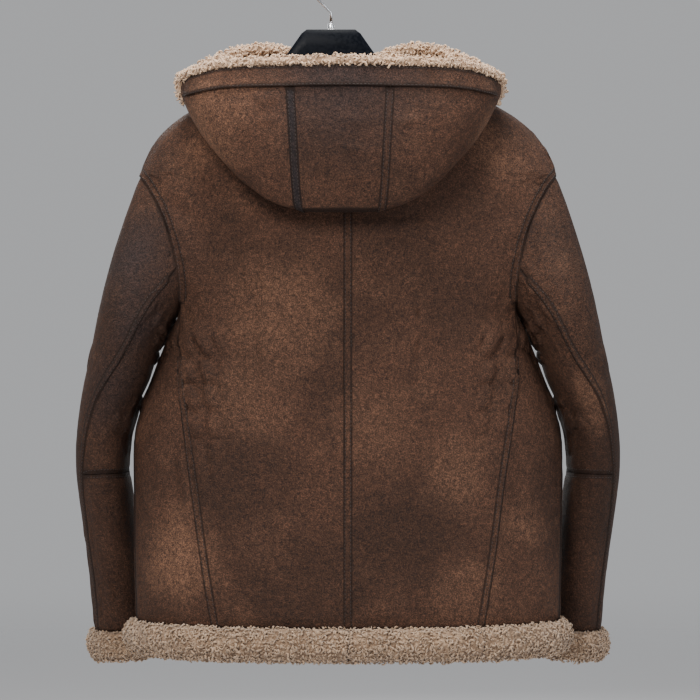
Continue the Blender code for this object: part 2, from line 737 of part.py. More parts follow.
def hung(points, shares):
    """Place the hood's rows, which hang to one side the further they are from the neck."""
    share = np.clip(np.array(shares) / HOOD_SHIFT_FROM, 0.0, 1.0)
    moved = placed(points)
    moved[:, :, 0] += HOOD_SHIFT * (share * share * (3 - 2 * share))[:, None]
    return moved


def build_hood(materials, collection):
    shares = np.linspace(0.0, 1.0, HOOD_STEPS + 1)
    centre = hood_grid(-HOOD_SEAM_AT, HOOD_SEAM_AT, 2 * HOOD_HALF_COLUMNS, 0.0, 1.0, HOOD_STEPS)
    side = hood_grid(HOOD_SEAM_AT, HOOD_END_AT, HOOD_SIDE_COLUMNS, 0.0, 1.0, HOOD_STEPS)
    points, normals = centre
    slab("hood_centre", hung(inset(points, normals, ("left", "right")), shares), normals,
         even(points.shape, 0.0), even(points.shape, LEATHER), materials["leather"], collection)
    points, normals = side
    for label, hand in (("left", 1), ("right", -1)):
        grid = hung(to_side(inset(points, normals, ("left",)), hand), shares)
        slab(f"hood_side_{label}", grid, to_side(normals, hand), even(points.shape, 0.0),
             even(points.shape, LEATHER), materials["leather"], collection)
    return centre, side


def hood_edge(centre, side):
    """The last two rows of the whole hood, from the right of the throat round to the left."""
    rows = []
    for row in (-2, -1):
        parts = []
        for grid in (0, 1):
            left = side[grid][row]
            right = to_side(left, -1)[::-1]
            parts.append(np.concatenate([right, centre[grid][row][1:-1], left]))
        rows.append(parts)
    return rows


def build_binding(centre, side, materials, collection):
    """The leather binding on the outside of the hood's edge."""
    (below, below_normals), (edge, edge_normals) = hood_edge(centre, side)
    away = below - edge
    share = (BINDING_HEIGHT / np.linalg.norm(away, axis=1))[:, None]
    points = np.array([edge + away * share, edge + away * share / 2, edge])
    normals = np.array([mix(edge_normals, below_normals, share), mix(edge_normals, below_normals, share / 2),
                        edge_normals])
    normals /= np.linalg.norm(normals, axis=2)[:, :, None]
    slab("hood_binding", hung(points, [1.0] * 3), normals, even(points.shape, BINDING_LIFT + BINDING_THICK),
         even(points.shape, -BINDING_LIFT), materials["seam_tape"], collection)


def build_rim_roll(centre, side, materials, collection):
    (below, _), (edge, normals) = hood_edge(centre, side)
    onward = (edge - below) / np.linalg.norm(edge - below, axis=1)[:, None]
    points = np.array([edge + onward * (row[0] + RIM_GAP) for row in RIM_ROLL])
    outside = np.array([[row[1]] * len(edge) for row in RIM_ROLL])
    inside = np.array([[row[2]] * len(edge) for row in RIM_ROLL])
    slab("hood_wool_edge", hung(points, [1.0] * len(RIM_ROLL)), np.array([normals] * len(RIM_ROLL)),
         outside, inside, materials["wool"], collection)


# ---------------------------------------------------------------- wool rolls at hem and cuffs
def hem_roll(points, normals):
    """Rows of a roll below a panel's lowest row."""
    down = np.array([0.0, 0.0, -1.0])
    level = normals[0] * np.array([1.0, 1.0, 0.0])
    level /= np.linalg.norm(level, axis=1)[:, None]
    rows = [points[0] + down * (row[0] + 2 * SEAM) for row in HEM_ROLL]
    outside = np.array([[row[1]] * points.shape[1] for row in HEM_ROLL])
    inside = np.array([[row[2]] * points.shape[1] for row in HEM_ROLL])
    return np.array(rows), np.array([level] * len(HEM_ROLL)), outside, inside


def build_hem(panels, materials, collection):
    for name, (points, normals) in panels:
        rows, level, outside, inside = hem_roll(points, normals)
        rows = inset(rows, level, ("left", "right"))
        for label, hand in (("left", 1), ("right", -1)):
            slab(f"hem_wool_{name}_{label}", placed(to_side(rows, hand)), to_side(level, hand),
                 outside, inside, materials["wool"], collection)


def welded_ring(name, sections, material, collection):
    """A closed ring swept by sections, which are a grid: round the ring, then round the section."""
    around, section = sections.shape[:2]
    bm = bmesh.new()
    bmesh.ops.create_grid(bm, x_segments=around, y_segments=section, size=0.5)
    for vert in bm.verts:
        i = int(round((vert.co.x + 0.5) * around)) % around
        j = int(round((vert.co.y + 0.5) * section)) % section
        vert.co = sections[i, j]
    bmesh.ops.remove_doubles(bm, verts=bm.verts, dist=1e-6)
    return finish_object(bm, name, material, collection)


def build_cuffs(materials, collection):
    around = UPPER_COLUMNS + UNDER_COLUMNS
    last = float(SLEEVE_LAST)
    quarters = [i * math.pi / 2 for i in range(4)]
    down = unit(sum(sleeve_point(last, t) - sleeve_point(last - 1, t) for t in quarters))
    for label, hand in (("left", 1), ("right", -1)):
        sections = []
        for i in range(around):
            turn = 2 * math.pi * i / around
            base, out = sleeve_point(last, turn), sleeve_normal(last, turn)
            outer = [base + down * (row[0] + 2 * SEAM) + out * row[1] for row in CUFF_ROLL]
            inner = [base + down * (row[0] + 2 * SEAM) - out * row[2] for row in reversed(CUFF_ROLL)]
            sections.append(outer + inner)
        ring = placed(to_side(np.array(sections), hand))
        welded_ring(f"cuff_wool_{label}", ring, materials["wool"], collection)


# ---------------------------------------------------------------- seam tapes
HANDS = (("left", 1), ("right", -1))


def tape(name, seam, seam_normals, sides, rows, lift, materials, collection, hands=HANDS,
         shares=None):
    """A strip centred on a seam. sides holds the grid lines next to the seam, one each way.

    A strip on the hood also has its rows' shares of the way from the neck to the edge.
    """
    half = TAPE_WIDTH / 2
    lines, directions = [], []
    for line, line_normals in (sides[0], (seam, seam_normals), sides[1]):
        away = line - seam
        reach = np.linalg.norm(away, axis=1)
        share = np.where(reach > 0.0, half / np.maximum(reach, half), 0.0)[:, None]
        lines.append((seam + away * share)[rows])
        directions.append((seam_normals + (line_normals - seam_normals) * share)[rows])
    points = np.stack(lines, axis=1)
    normals = np.stack(directions, axis=1)
    normals /= np.linalg.norm(normals, axis=2)[:, :, None]
    for label, hand in hands:
        full_name = f"{name}_{label}" if label else name
        turned = to_side(points, hand)
        grid = placed(turned) if shares is None else hung(turned, shares)
        slab(full_name, grid, to_side(normals, hand),
             even(points.shape, lift + TAPE_THICK), even(points.shape, -lift),
             materials["seam_tape"], collection)


def build_body_tapes(back, side, materials, collection):
    points, normals = back
    mirrored = to_side(points[:, 1], -1), to_side(normals[:, 1], -1)
    tape("tape_centre_back", points[:, 0], normals[:, 0], ((points[:, 1], normals[:, 1]), mirrored),
         slice(0, BODY_ROWS + 9), TAPE_LIFT, materials, collection, hands=((None, 1),))
    side_points, side_normals = side
    count = BODY_ROWS - 1
    tape("tape_slanted", points[:count, -1], normals[:count, -1],
         ((points[:count, -2], normals[:count, -2]), (side_points[:count, -2], side_normals[:count, -2])),
         slice(0, count), TAPE_LIFT_TWISTED, materials, collection)


def build_sleeve_tapes(upper, under_top, under_low, materials, collection):
    seam, seam_normals = upper[0][:, -1], upper[1][:, -1]
    under = np.concatenate([under_top[0][:, 1], under_low[0][1:, 1]])
    under_normals = np.concatenate([under_top[1][:, 1], under_low[1][1:, 1]])
    tape("tape_sleeve", seam, seam_normals,
         ((upper[0][:, -2], upper[1][:, -2]), (under, under_normals)),
         slice(1, SLEEVE_LAST + 1), TAPE_LIFT_TWISTED, materials, collection)


def build_hood_tapes(centre, side, materials, collection):
    first = HOOD_STEPS // 2 - 1
    rows = list(range(first, HOOD_STEPS)) + [HOOD_STEPS]
    lines = []
    for grid, column in ((centre, -1), (centre, -2), (side, 1)):
        points, normals = grid[0][:, column][rows].copy(), grid[1][:, column][rows].copy()
        last = points[-1] - points[-2]
        room = BINDING_HEIGHT + 0.0012
        points[-1] = points[-2] + last * (1.0 - room / np.linalg.norm(last))
        lines.append((points, normals))
    tape("tape_hood", lines[0][0], lines[0][1], (lines[1], lines[2]), slice(None), TAPE_LIFT,
         materials, collection, shares=np.array(rows) / HOOD_STEPS)


def torso_level(point, side):
    """Below 0 inside the torso's ring, above 0 outside it."""
    x, y, z = abs(point[0]), abs(point[1]), point[2]
    power = roundness(z)
    return (x / half_width(z, side)) ** power + (y / depth_at(z, side)) ** power - 1.0


def torso_slope(point, side):
    step = 2 * SURFACE_STEP
    slope = []
    for axis in np.eye(3):
        slope.append(torso_level(point + step * axis, side) - torso_level(point - step * axis, side))
    return unit(np.array(slope))


def onto_torso(point, side):
    for _ in range(12):
        slope = torso_slope(point, side)
        rise = (torso_level(point + 1e-4 * slope, side) - torso_level(point, side)) / 1e-4
        point = point - slope * torso_level(point, side) / rise
    return point


RIDGE_STEPS = 2                # facets in front of the shoulder tip that bend sharply


def build_armhole_tapes(materials, collection):
    """A strip on the torso's side of each armhole, from the front over the shoulder to the back."""
    last = ARMHOLE_STEPS - SIDE_STEPS
    stations = [(-1, step) for step in range(last, 0, -1)] + [(1, step) for step in range(0, last + 1)]
    edge = []
    for side, step in stations:
        x, y = armhole_sides(armhole_level(step))
        edge.append(np.array([x, side * y, height_at(armhole_level(step))]))
    edge = np.array(edge)
    along = np.gradient(edge, axis=0)
    rows, normals = [], []
    for i, (side, step) in enumerate(stations):
        out = torso_slope(edge[i], side)
        across = unit(np.cross(along[i], out))
        if across.dot(edge[i] - (TIP + PIT) / 2) + across.dot(TO_SPINE) * 0.05 < 0:
            across = -across
        line = [edge[i] + across * 4 * SEAM]
        line += [onto_torso(edge[i] + across * reach, side) for reach in (TAPE_WIDTH / 2, TAPE_WIDTH)]
        rows.append(line)
        normals.append([out, torso_slope(line[1], side), torso_slope(line[2], side)])
    points, normals = np.array(rows), np.array(normals)
    lift = even(points.shape, TAPE_LIFT_TWISTED)
    lift[[side < 0 and step <= RIDGE_STEPS for side, step in stations]] = TAPE_LIFT_RIDGE
    for label, hand in (("left", 1), ("right", -1)):
        slab(f"tape_armhole_{label}", placed(to_side(points, hand)), to_side(normals, hand),
             lift + TAPE_THICK, -lift, materials["seam_tape"], collection)


# ---------------------------------------------------------------- fly front and buttons
def front_at(x, z):
    turn = turn_at_x(abs(x), z, -1)
    hand = np.array([math.copysign(1.0, x), 1.0, 1.0])
    return torso_point(turn, z, -1) * hand, torso_normal(turn, z, -1) * hand


def build_fly(materials, collection):
    heights = list(np.linspace(HEM_Z, PIT[2], BODY_ROWS + 1))
    heights += armhole_heights(ARMHOLE_STEPS - 1, 0) + ridge_heights()
    heights = heights[:-FLY_TOP_ROW]
    grid = [[front_at(x, z) for x in np.linspace(-FLY_HALF, FLY_HALF, 5)] for z in heights]
    points = np.array([[cell[0] for cell in row] for row in grid])
    normals = np.array([[cell[1] for cell in row] for row in grid])
    slab("front_fly", placed(points), normals, even(points.shape, TAPE_LIFT + FLY_THICK),
         even(points.shape, -TAPE_LIFT), materials["leather"], collection)


def build_buttons(materials, collection):
    for i in range(BUTTON_COUNT):
        z = BUTTON_TOP_Z - i * BUTTON_PITCH
        point, out = front_at(1e-6, z)
        bm = bmesh.new()
        base = TAPE_LIFT + FLY_THICK
        verts = [bm.verts.new((radius, 0.0, base + height)) for radius, height in reversed(BUTTON_PROFILE)]
        edges = [bm.edges.new(pair) for pair in zip(verts, verts[1:])]
        bmesh.ops.spin(bm, geom=verts + edges, cent=(0, 0, 0), axis=(0, 0, 1), angle=2 * math.pi,
                       steps=BUTTON_STEPS, use_merge=True)
        bmesh.ops.remove_doubles(bm, verts=bm.verts, dist=1e-6)
        turn = Vector((0, 0, 1)).rotation_difference(Vector(out))
        bmesh.ops.rotate(bm, verts=bm.verts, cent=(0, 0, 0), matrix=turn.to_matrix())
        obj = finish_object(bm, f"button_{i + 1}", materials["horn"], collection)
        obj.location = placed(point)


# ---------------------------------------------------------------- hanger
def hanger_section(x, top, bottom, half_depth):
    middle, half = (top + bottom) / 2, (top - bottom) / 2
    ring = []
    for i in range(HANGER_ROUND_STEPS):
        turn = 2 * math.pi * (i + 0.5) / HANGER_ROUND_STEPS
        ring.append((x, half_depth * signed_power(math.sin(turn), HANGER_ROUND_POWER),
                     middle + half * signed_power(math.cos(turn), HANGER_ROUND_POWER)))
    return ring


def build_hanger(materials, collection):
    left = [hanger_section(*row) for row in HANGER_SECTIONS]
    right = [[(-x, y, z) for x, y, z in ring] for ring in left[:0:-1]]
    rings = np.array(right + left)
    stations, around = rings.shape[:2]
    bm = bmesh.new()
    bmesh.ops.create_grid(bm, x_segments=stations - 1, y_segments=around, size=0.5)
    for vert in bm.verts:
        i = int(round((vert.co.x + 0.5) * (stations - 1)))
        j = int(round((vert.co.y + 0.5) * around)) % around
        vert.co = rings[i, j]
    bmesh.ops.remove_doubles(bm, verts=bm.verts, dist=1e-6)
    bmesh.ops.holes_fill(bm, edges=[e for e in bm.edges if e.is_boundary], sides=0)
    finish_object(bm, "hanger_block", materials["hanger_plastic"], collection)

    top = HANGER_SECTIONS[0][1]
    bm = bmesh.new()
    bmesh.ops.create_cone(bm, cap_ends=True, segments=20, radius1=COLLAR_RADIUS, radius2=0.8 * COLLAR_RADIUS,
                          depth=COLLAR_HEIGHT)
    collar = finish_object(bm, "hook_collar", materials["hook_steel"], collection)
    collar.location = (0.0, 0.0, top + 2 * SEAM + COLLAR_HEIGHT / 2)
    build_hook(top + 4 * SEAM + COLLAR_HEIGHT, materials, collection)


def build_hook(foot, materials, collection):
    """A wire that rises from the collar, swings to the wearer's left and turns over the rail."""
    centre_z = HOOK_WIRE - HOOK_RADIUS
    points = [(0.0, 0.0, foot), (0.0, 0.0, mix(foot, centre_z - HOOK_RADIUS, 0.6))]
    start, end = math.radians(-42.0), math.radians(205.0)
    for i in range(HOOK_STEPS + 1):
        turn = mix(start, end, i / HOOK_STEPS)
        points.append((HOOK_RADIUS * math.cos(turn), 0.0, centre_z + HOOK_RADIUS * math.sin(turn)))
    curve = bpy.data.curves.new("hook_wire", "CURVE")
    curve.dimensions = "3D"
    curve.bevel_depth = HOOK_WIRE
    curve.bevel_resolution = 2
    curve.use_fill_caps = True
    spline = curve.splines.new("POLY")
    spline.points.add(len(points) - 1)
    for point, place in zip(spline.points, points):
        point.co = (*place, 1.0)
    curve.materials.append(materials["hook_steel"])
    obj = bpy.data.objects.new("hook_wire", curve)
    collection.objects.link(obj)


def main():
    collection = make_collection()
    materials = make_materials()
    back, side, front = build_torso(materials, collection)
    upper, under_top, under_low = build_sleeves(materials, collection)
    centre, hood_side = build_hood(materials, collection)
    build_binding(centre, hood_side, materials, collection)
    build_rim_roll(centre, hood_side, materials, collection)
    build_hem((("back", back), ("side", side), ("front", front)), materials, collection)
    build_cuffs(materials, collection)
    build_body_tapes(back, side, materials, collection)
    build_sleeve_tapes(upper, under_top, under_low, materials, collection)
    build_hood_tapes(centre, hood_side, materials, collection)
    build_armhole_tapes(materials, collection)
    build_fly(materials, collection)
    build_buttons(materials, collection)
    build_hanger(materials, collection)


main()
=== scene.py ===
"""Hooded shearling jacket on a hanger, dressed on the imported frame.

Metres, +Z up, the origin inside the hook's crown.  Leather panels are finer copies of their CAD
walls with folds and puffed seams, the wool is a mesh of curls, and seams are lapped and stitched.
"""
import itertools
import json
import math

import bmesh
import bpy
import numpy as np
from mathutils import Matrix, Vector
from mathutils.bvhtree import BVHTree

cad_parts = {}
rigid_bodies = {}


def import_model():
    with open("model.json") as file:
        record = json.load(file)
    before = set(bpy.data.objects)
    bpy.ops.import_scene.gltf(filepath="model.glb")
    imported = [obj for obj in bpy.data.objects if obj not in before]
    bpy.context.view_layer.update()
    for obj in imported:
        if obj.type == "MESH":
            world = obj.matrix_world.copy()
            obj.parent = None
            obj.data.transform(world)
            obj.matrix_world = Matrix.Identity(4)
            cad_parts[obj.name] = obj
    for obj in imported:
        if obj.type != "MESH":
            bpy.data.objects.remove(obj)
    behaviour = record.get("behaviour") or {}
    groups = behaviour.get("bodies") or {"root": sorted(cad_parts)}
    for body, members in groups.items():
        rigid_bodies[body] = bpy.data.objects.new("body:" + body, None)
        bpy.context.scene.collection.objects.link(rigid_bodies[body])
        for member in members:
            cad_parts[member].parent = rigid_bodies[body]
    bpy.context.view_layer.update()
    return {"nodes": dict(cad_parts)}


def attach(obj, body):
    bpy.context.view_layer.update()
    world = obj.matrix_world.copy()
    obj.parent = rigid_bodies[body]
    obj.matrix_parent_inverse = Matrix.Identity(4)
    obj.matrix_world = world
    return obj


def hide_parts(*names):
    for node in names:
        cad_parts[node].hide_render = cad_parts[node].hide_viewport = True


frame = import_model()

bl_info = {
    "name": "Hooded shearling jacket",
    "version": (1, 0, 0),
    "blender": (4, 5, 0),
    "location": "View3D > Sidebar > Jacket",
    "description": "Leather, wool, seams, hanger and studio for a hooded jacket",
    "category": "Object",
}

WELD = 2e-6                    # CAD meshes are loose triangles, welded at this distance
SHARP = math.radians(35)       # a CAD edge sharper than this stays an edge
WALL_SHARE = 0.3               # of the largest side's area: less than this is rim
BEVEL_FROM = math.radians(28)  # a hard part's edge sharper than this is rounded
LEATHER, WOOL, RIM = 0, 1, 2   # the sides of a wall, as the material numbers of its faces

# ---------------------------------------------------------------- the camera's frame
PIXEL = 0.00124                # metres a photograph pixel spans in the plane of the hook
HOOK_PX = (331.0, -27.0)       # the origin in the photograph's pixels
CAMERA_AT = (-0.02356, 3.2, -0.4675)
LENS = 132.7
FLOOR_Z = -1.28
FLOOR_FADE = (1.8, 6.0)        # the floor fades into the backdrop between these distances

# Strips laid over seams, and the panels of a sleeve.
STRIPS = ("tape_centre_back",) + tuple(
    f"tape_{name}_{hand}" for name in ("slanted", "sleeve", "hood", "armhole") for hand in ("left", "right"))
SLEEVE_PANELS = ("upper_sleeve", "under_sleeve", "lower_under_sleeve")

# Folds, drawn on the photograph's plane: points in pixels, half width and height in metres.
# A negative height is a valley.  They lie on the back, where y is above 0.
FOLDS = (
    (((176, 300), (180, 360), (181, 420)), 0.011, -0.0030),
    (((196, 300), (204, 380), (206, 450)), 0.016, 0.0022),
    (((516, 300), (512, 350), (500, 420)), 0.012, -0.0034),
    (((492, 310), (488, 380), (470, 450)), 0.017, 0.0024),
    (((528, 400), (520, 470), (508, 560)), 0.014, -0.0022),
    (((150, 470), (160, 540), (158, 600)), 0.016, 0.0022),
    (((240, 225), (262, 300), (268, 400)), 0.026, 0.0024),
    (((300, 300), (296, 420), (306, 560)), 0.028, -0.0020),
    (((400, 235), (410, 320), (400, 430)), 0.026, 0.0024),
    (((440, 420), (430, 500), (440, 600)), 0.028, -0.0022),
    (((250, 430), (240, 520), (252, 610)), 0.026, 0.0020),
    (((385, 480), (388, 560), (380, 620)), 0.022, 0.0018),
    (((150, 190), (175, 205), (205, 232)), 0.014, -0.0018),
    (((530, 195), (508, 210), (480, 235)), 0.014, -0.0018),
    # sleeves: creases that cross at the elbow and run in from the underarm
    (((152, 318), (128, 352), (112, 366)), 0.009, -0.0026),
    (((146, 352), (122, 372), (98, 380)), 0.010, 0.0022),
    (((140, 400), (116, 404), (86, 392)), 0.009, -0.0022),
    (((128, 436), (104, 432), (80, 444)), 0.010, 0.0022),
    (((128, 480), (106, 476), (82, 462)), 0.009, -0.0024),
    (((126, 520), (108, 500), (86, 500)), 0.010, 0.0018),
    (((122, 585), (104, 560), (88, 556)), 0.011, -0.0018),
    (((548, 322), (568, 352), (590, 362)), 0.009, -0.0028),
    (((556, 360), (578, 384), (606, 388)), 0.010, 0.0024),
    (((566, 402), (590, 412), (616, 404)), 0.009, -0.0024),
    (((570, 438), (594, 440), (618, 436)), 0.010, 0.0022),
    (((570, 476), (592, 468), (616, 476)), 0.009, -0.0024),
    (((568, 520), (590, 505), (612, 512)), 0.010, 0.0020),
    (((570, 580), (590, 560), (606, 562)), 0.011, -0.0020),
    # hood: soft drops from its seams to the fold
    (((262, 100), (262, 150), (276, 200)), 0.014, 0.0016),
    (((236, 104), (246, 150), (268, 188)), 0.013, -0.0020),
    (((412, 100), (416, 150), (404, 200)), 0.014, 0.0018),
    (((440, 104), (436, 148), (418, 186)), 0.013, -0.0020),
    (((322, 110), (318, 160), (326, 205)), 0.014, -0.0014),
    (((352, 110), (356, 160), (350, 205)), 0.014, 0.0014),
)

FOLD_STRENGTH = 1.5
PUFF = 0.0009                  # how far the leather stands off its CAD wall
SEAM_DIP = 0.0015              # and how far it sinks at a seam, over this reach
SEAM_REACH = 0.008
UNDERARM_FULLNESS = 0.0130
UNDERARM_Z = (-0.490, 0.065)   # its middle and half height
UNDERARM_EVENING = 30          # times that a value is averaged with its neighbours'
EXCESS_EVENING = 6
HUG_EVENING = 8
GAP_REACH = 0.04               # how far out a neighbour is looked for
ROOM_SHARE = 0.46              # of a gap, that one side may fill

# A shoulder seam lies above this height, is wider than this, and ends beyond this from the middle.
SHOULDER_Z, SHOULDER_WIDTH, SHOULDER_OUT = -0.262, 0.09, 0.17

# Seams sewn twice, with a second row beside them: which of a panel's borders, by its middle.
TWIN_STITCHED = {
    "side": lambda middle: abs(middle[0] - CAMERA_AT[0]),
    "under_sleeve": lambda middle: -middle[2],
    "lower_under_sleeve": lambda middle: middle[2],
}
TWIN_INSET = 0.0045
STITCHES = []                  # turns and places of all stitches, laid as the panels are made
NEIGHBOURS = []                # holds the search tree over the CAD nodes, once the body has begun

BACK_Y = 0.100                 # the back lies about here, where blots are centred
STAINS_AND_PAINTED_LIGHT = (
    # Stains and painted light: the dark blots under the hood's edges are painted shadow, the dusk blots on
    # the left sleeve and in the underarm gap are painted shade, and the straw blots on the shoulders and the
    # hood's upper sides are painted highlights; the other blots darken or lighten the leather in patches.
    # pixel, radius in pixels, strength, tint
    ((232, 478), 62, 0.80, "dark"), ((410, 525), 66, 0.85, "dark"), ((300, 590), 60, 0.60, "dark"),
    ((395, 235), 50, 0.65, "dark"), ((225, 255), 40, 0.50, "dark"), ((455, 305), 46, 0.60, "dark"),
    ((500, 380), 34, 0.60, "dark"), ((322, 360), 40, 0.30, "dark"), ((440, 150), 34, 0.30, "dark"),
    ((340, 165), 44, 0.65, "dark"), ((470, 215), 40, 0.50, "dark"), ((340, 555), 50, 0.45, "dark"),
    ((282, 310), 62, 0.55, "tan"), ((452, 470), 40, 0.50, "tan"), ((158, 555), 60, 0.95, "straw"),
    ((470, 585), 40, 0.35, "tan"), ((250, 400), 46, 0.35, "tan"), ((238, 124), 52, 1.00, "straw"),
    ((375, 425), 46, 0.35, "tan"), ((180, 150), 40, 0.85, "straw"), ((430, 125), 38, 0.75, "straw"),
    ((532, 520), 40, 0.65, "straw"), ((508, 150), 40, 0.90, "straw"), ((592, 420), 46, 0.80, "straw"),
    ((592, 550), 50, 1.00, "straw"),
    ((345, 80), 90, 0.85, "dusk"), ((130, 250), 60, 0.70, "dusk"), ((105, 400), 60, 0.80, "dusk"),
    ((150, 330), 40, 0.60, "dusk"), ((580, 400), 44, 0.55, "straw"), ((345, 74), 40, 0.80, "dark"),
    ((108, 600), 40, 0.40, "dark"),
)

PANEL_LINE = 0.0026            # width of the dark line along a panel's seams, and a strip's edges
STRIP_LINE = 0.0010
STITCH_LENGTH = 0.0034
STITCH_PITCH = 0.0046
STITCH_RADIUS = 0.00045
STITCH_INSET = 0.0017          # from a strip's edge to its stitches
STITCH_SKIP = 0.003            # left free at each end of a row
PATH_STEP = 0.0004
STRIP_OVER = 0.0008            # a strip's top above the leather, and its underside below it
STRIP_UNDER = 0.0007
HUG_REACH = 0.012              # how far from a strip leather is looked for
BINDING_CORNER = 0.182         # beyond this the binding turns in, and wool shows outside it
BINDING_TURN = 0.38            # the share of the way in, past that corner

WOOL_VOXEL = 0.0026            # size of the remesh of a wool edge
CURL = 0.0052                  # width of one curl
CURL_HEIGHT = 0.0034
LOCK_SPACING = 0.0045          # one lock of wool to each cube of this size
LOCK_RADIUS = 0.0019
LOCK_THICK = 0.00090
LOCK_TURN = math.radians(265)
LOCK_RISE = 0.0018
LOCK_SIZE = 1.08
LINING_SPACING = 0.0078        # the hood's lining has fewer locks, and larger ones
LINING_SIZE = 1.55
CURL_SEED, LOCK_SEED, LINING_SEED, THINNING_SEED = 3, 7, 9, 17
COVER = (0.0025, 0.0070)       # a lock is left out where leather lies between these distances
FOLD_CLEAR = 0.016             # the hood's lining has no locks this near its bottom fold
CORNER_PUFFS = (
    # past the hood's widest place, y, z, and half sizes
    (-0.0075, 0.052, -0.141, (0.0085, 0.024, 0.010)),
    (-0.0060, 0.059, -0.151, (0.0080, 0.011, 0.011)),
    (-0.0095, 0.062, -0.160, (0.0068, 0.008, 0.009)),
)


# ---------------------------------------------------------------- noise
def lattice(ix, iy, iz, seed):
    """A value from -1 to 1 for each whole-number place."""
    mask = 0xFFFFFFFF
    n = (ix * 374761393 + iy * 668265263 + iz * 1442695041 + seed * 1274126177) & mask
    n = ((n ^ (n >> 13)) * 1274126177) & mask
    n = ((n ^ (n >> 15)) * 2246822519) & mask
    return ((n ^ (n >> 16)) & 0xFFFF) / 32767.5 - 1.0


def rough(points, size, seed):
    """Smooth noise from -1 to 1, with features about as wide as size."""
    place = points / size
    base = np.floor(place).astype(np.int64)
    t = place - base
    t = t * t * (3 - 2 * t)
    total = np.zeros(len(points))
    for corner in itertools.product((0, 1), repeat=3):
        weight = np.prod(np.where(np.array(corner) > 0, t, 1 - t), axis=1)
        total += weight * lattice(*(base + corner).T, seed)
    return total


def cells(points, size, seed):
    """Distances to the nearest and second nearest of scattered centres, in units of size."""
    place = points / size
    base = np.floor(place).astype(np.int64)
    first = np.full(len(points), 9.0)
    second = first.copy()
    for offset in itertools.product((-1, 0, 1), repeat=3):
        cell = base + offset
        centre = cell + 0.5 + 0.45 * np.stack([lattice(*cell.T, seed + k) for k in range(3)], axis=1)
        distance = np.linalg.norm(place - centre, axis=1)
        second = np.minimum(second, np.maximum(first, distance))
        first = np.minimum(first, distance)
    return first, second


def falloff(distance, width):
    return np.exp(-(distance / width) ** 2)


def to_line(points, line):
    """Distance from points to a polyline, and the share of its length at the nearest place."""
    best = np.full(len(points), 9.0)
    at = np.zeros(len(points))
    lengths = np.concatenate([[0.0], np.cumsum(np.linalg.norm(np.diff(line, axis=0), axis=1))])
    for i, (a, b) in enumerate(zip(line, line[1:])):
        along = b - a
        t = np.clip((points - a) @ along / (along @ along), 0.0, 1.0)
        distance = np.linalg.norm(points - a - t[:, None] * along, axis=1)
        nearer = distance < best
        best = np.where(nearer, distance, best)
        at = np.where(nearer, (lengths[i] + t * (lengths[i + 1] - lengths[i])) / lengths[-1], at)
    return best, at


def from_pixel(x, y):
    """Where a photograph pixel falls in the plane of the hook: x and z."""
    return (HOOK_PX[0] - x) * PIXEL, (HOOK_PX[1] - y) * PIXEL


def on_plane(points):
    """Project points from the camera onto the plane of the hook, as x and z."""
    camera = np.array(CAMERA_AT)
    share = camera[1] / (camera[1] - points[:, 1])
    flat = camera + (points - camera) * share[:, None]
    return flat[:, [0, 2]]


# ---------------------------------------------------------------- meshes
def welded(node):
    """A welded copy of a CAD node, with its triangles joined to quads where they pair up."""
    bm = bmesh.new()
    bm.from_mesh(frame["nodes"][node].data)
    bmesh.ops.remove_doubles(bm, verts=bm.verts, dist=WELD)
    bmesh.ops.join_triangles(bm, faces=bm.faces, angle_face_threshold=math.radians(50),
                             angle_shape_threshold=math.radians(70), cmp_seam=False, cmp_sharp=False,
                             cmp_uvs=False, cmp_vcols=False, cmp_materials=False)
    return bm


def crease_sharp(bm):
    """Crease the edges of a wall's rim so that subdivision keeps them, and its corners too."""
    layer = bm.edges.layers.float.new("crease_edge")
    corner = bm.verts.layers.float.new("crease_vert")
    for edge in bm.edges:
        if len(edge.link_faces) == 2 and edge.calc_face_angle(0.0) > SHARP:
            edge[layer] = 1.0
    for vert in bm.verts:
        if sum(edge[layer] > 0 for edge in vert.link_edges) > 2:
            vert[corner] = 1.0


def wall(node):
    """A CAD node's wall, welded, creased and with its sides numbered."""
    bm = welded(node)
    crease_sharp(bm)
    wall_sides(bm)
    return bm


def wall_sides(bm):
    """Number each face of a wall by its side.  Only the rim stays creased."""
    layer = bm.edges.layers.float["crease_edge"]
    side = {}
    groups = []
    for face in bm.faces:
        if face in side:
            continue
        stack, group = [face], []
        side[face] = len(groups)
        while stack:
            here = stack.pop()
            group.append(here)
            for edge in here.edges:
                if edge[layer] > 0:
                    continue
                for other in edge.link_faces:
                    if other not in side:
                        side[other] = len(groups)
                        stack.append(other)
        groups.append(group)
    areas = [sum(face.calc_area() for face in group) for group in groups]
    order = sorted(range(len(groups)), key=lambda i: -areas[i])
    walls = [i for i in order if areas[i] > WALL_SHARE * areas[order[0]]]
    touching = {side[other] for face in groups[order[0]]
                for edge in face.edges for other in edge.link_faces}
    folded = len(walls) > 2
    kinds = [RIM if i not in walls else LEATHER if i == order[0] or folded and i in touching else WOOL
             for i in range(len(groups))]
    leather, wool = ({v for i, group in enumerate(groups) if kinds[i] == kind
                      for f in group for v in f.verts}
                     for kind in (LEATHER, WOOL))
    for number, group in enumerate(groups):
        for face in group:
            face.material_index = kinds[number]
            if kinds[number] == RIM:
                meets = not leather.isdisjoint(face.verts), not wool.isdisjoint(face.verts)
                face.material_index = {(True, False): LEATHER, (False, True): WOOL}.get(meets, RIM)
    corner = bm.verts.layers.float["crease_vert"]
    for edge in bm.edges:
        kinds = {face.material_index for face in edge.link_faces}
        if len(kinds) == 1 and RIM not in kinds:
            edge[layer] = 0.0
    for vert in bm.verts:
        vert[corner] = 1.0 if sum(edge[layer] > 0 for edge in vert.link_edges) > 2 else 0.0


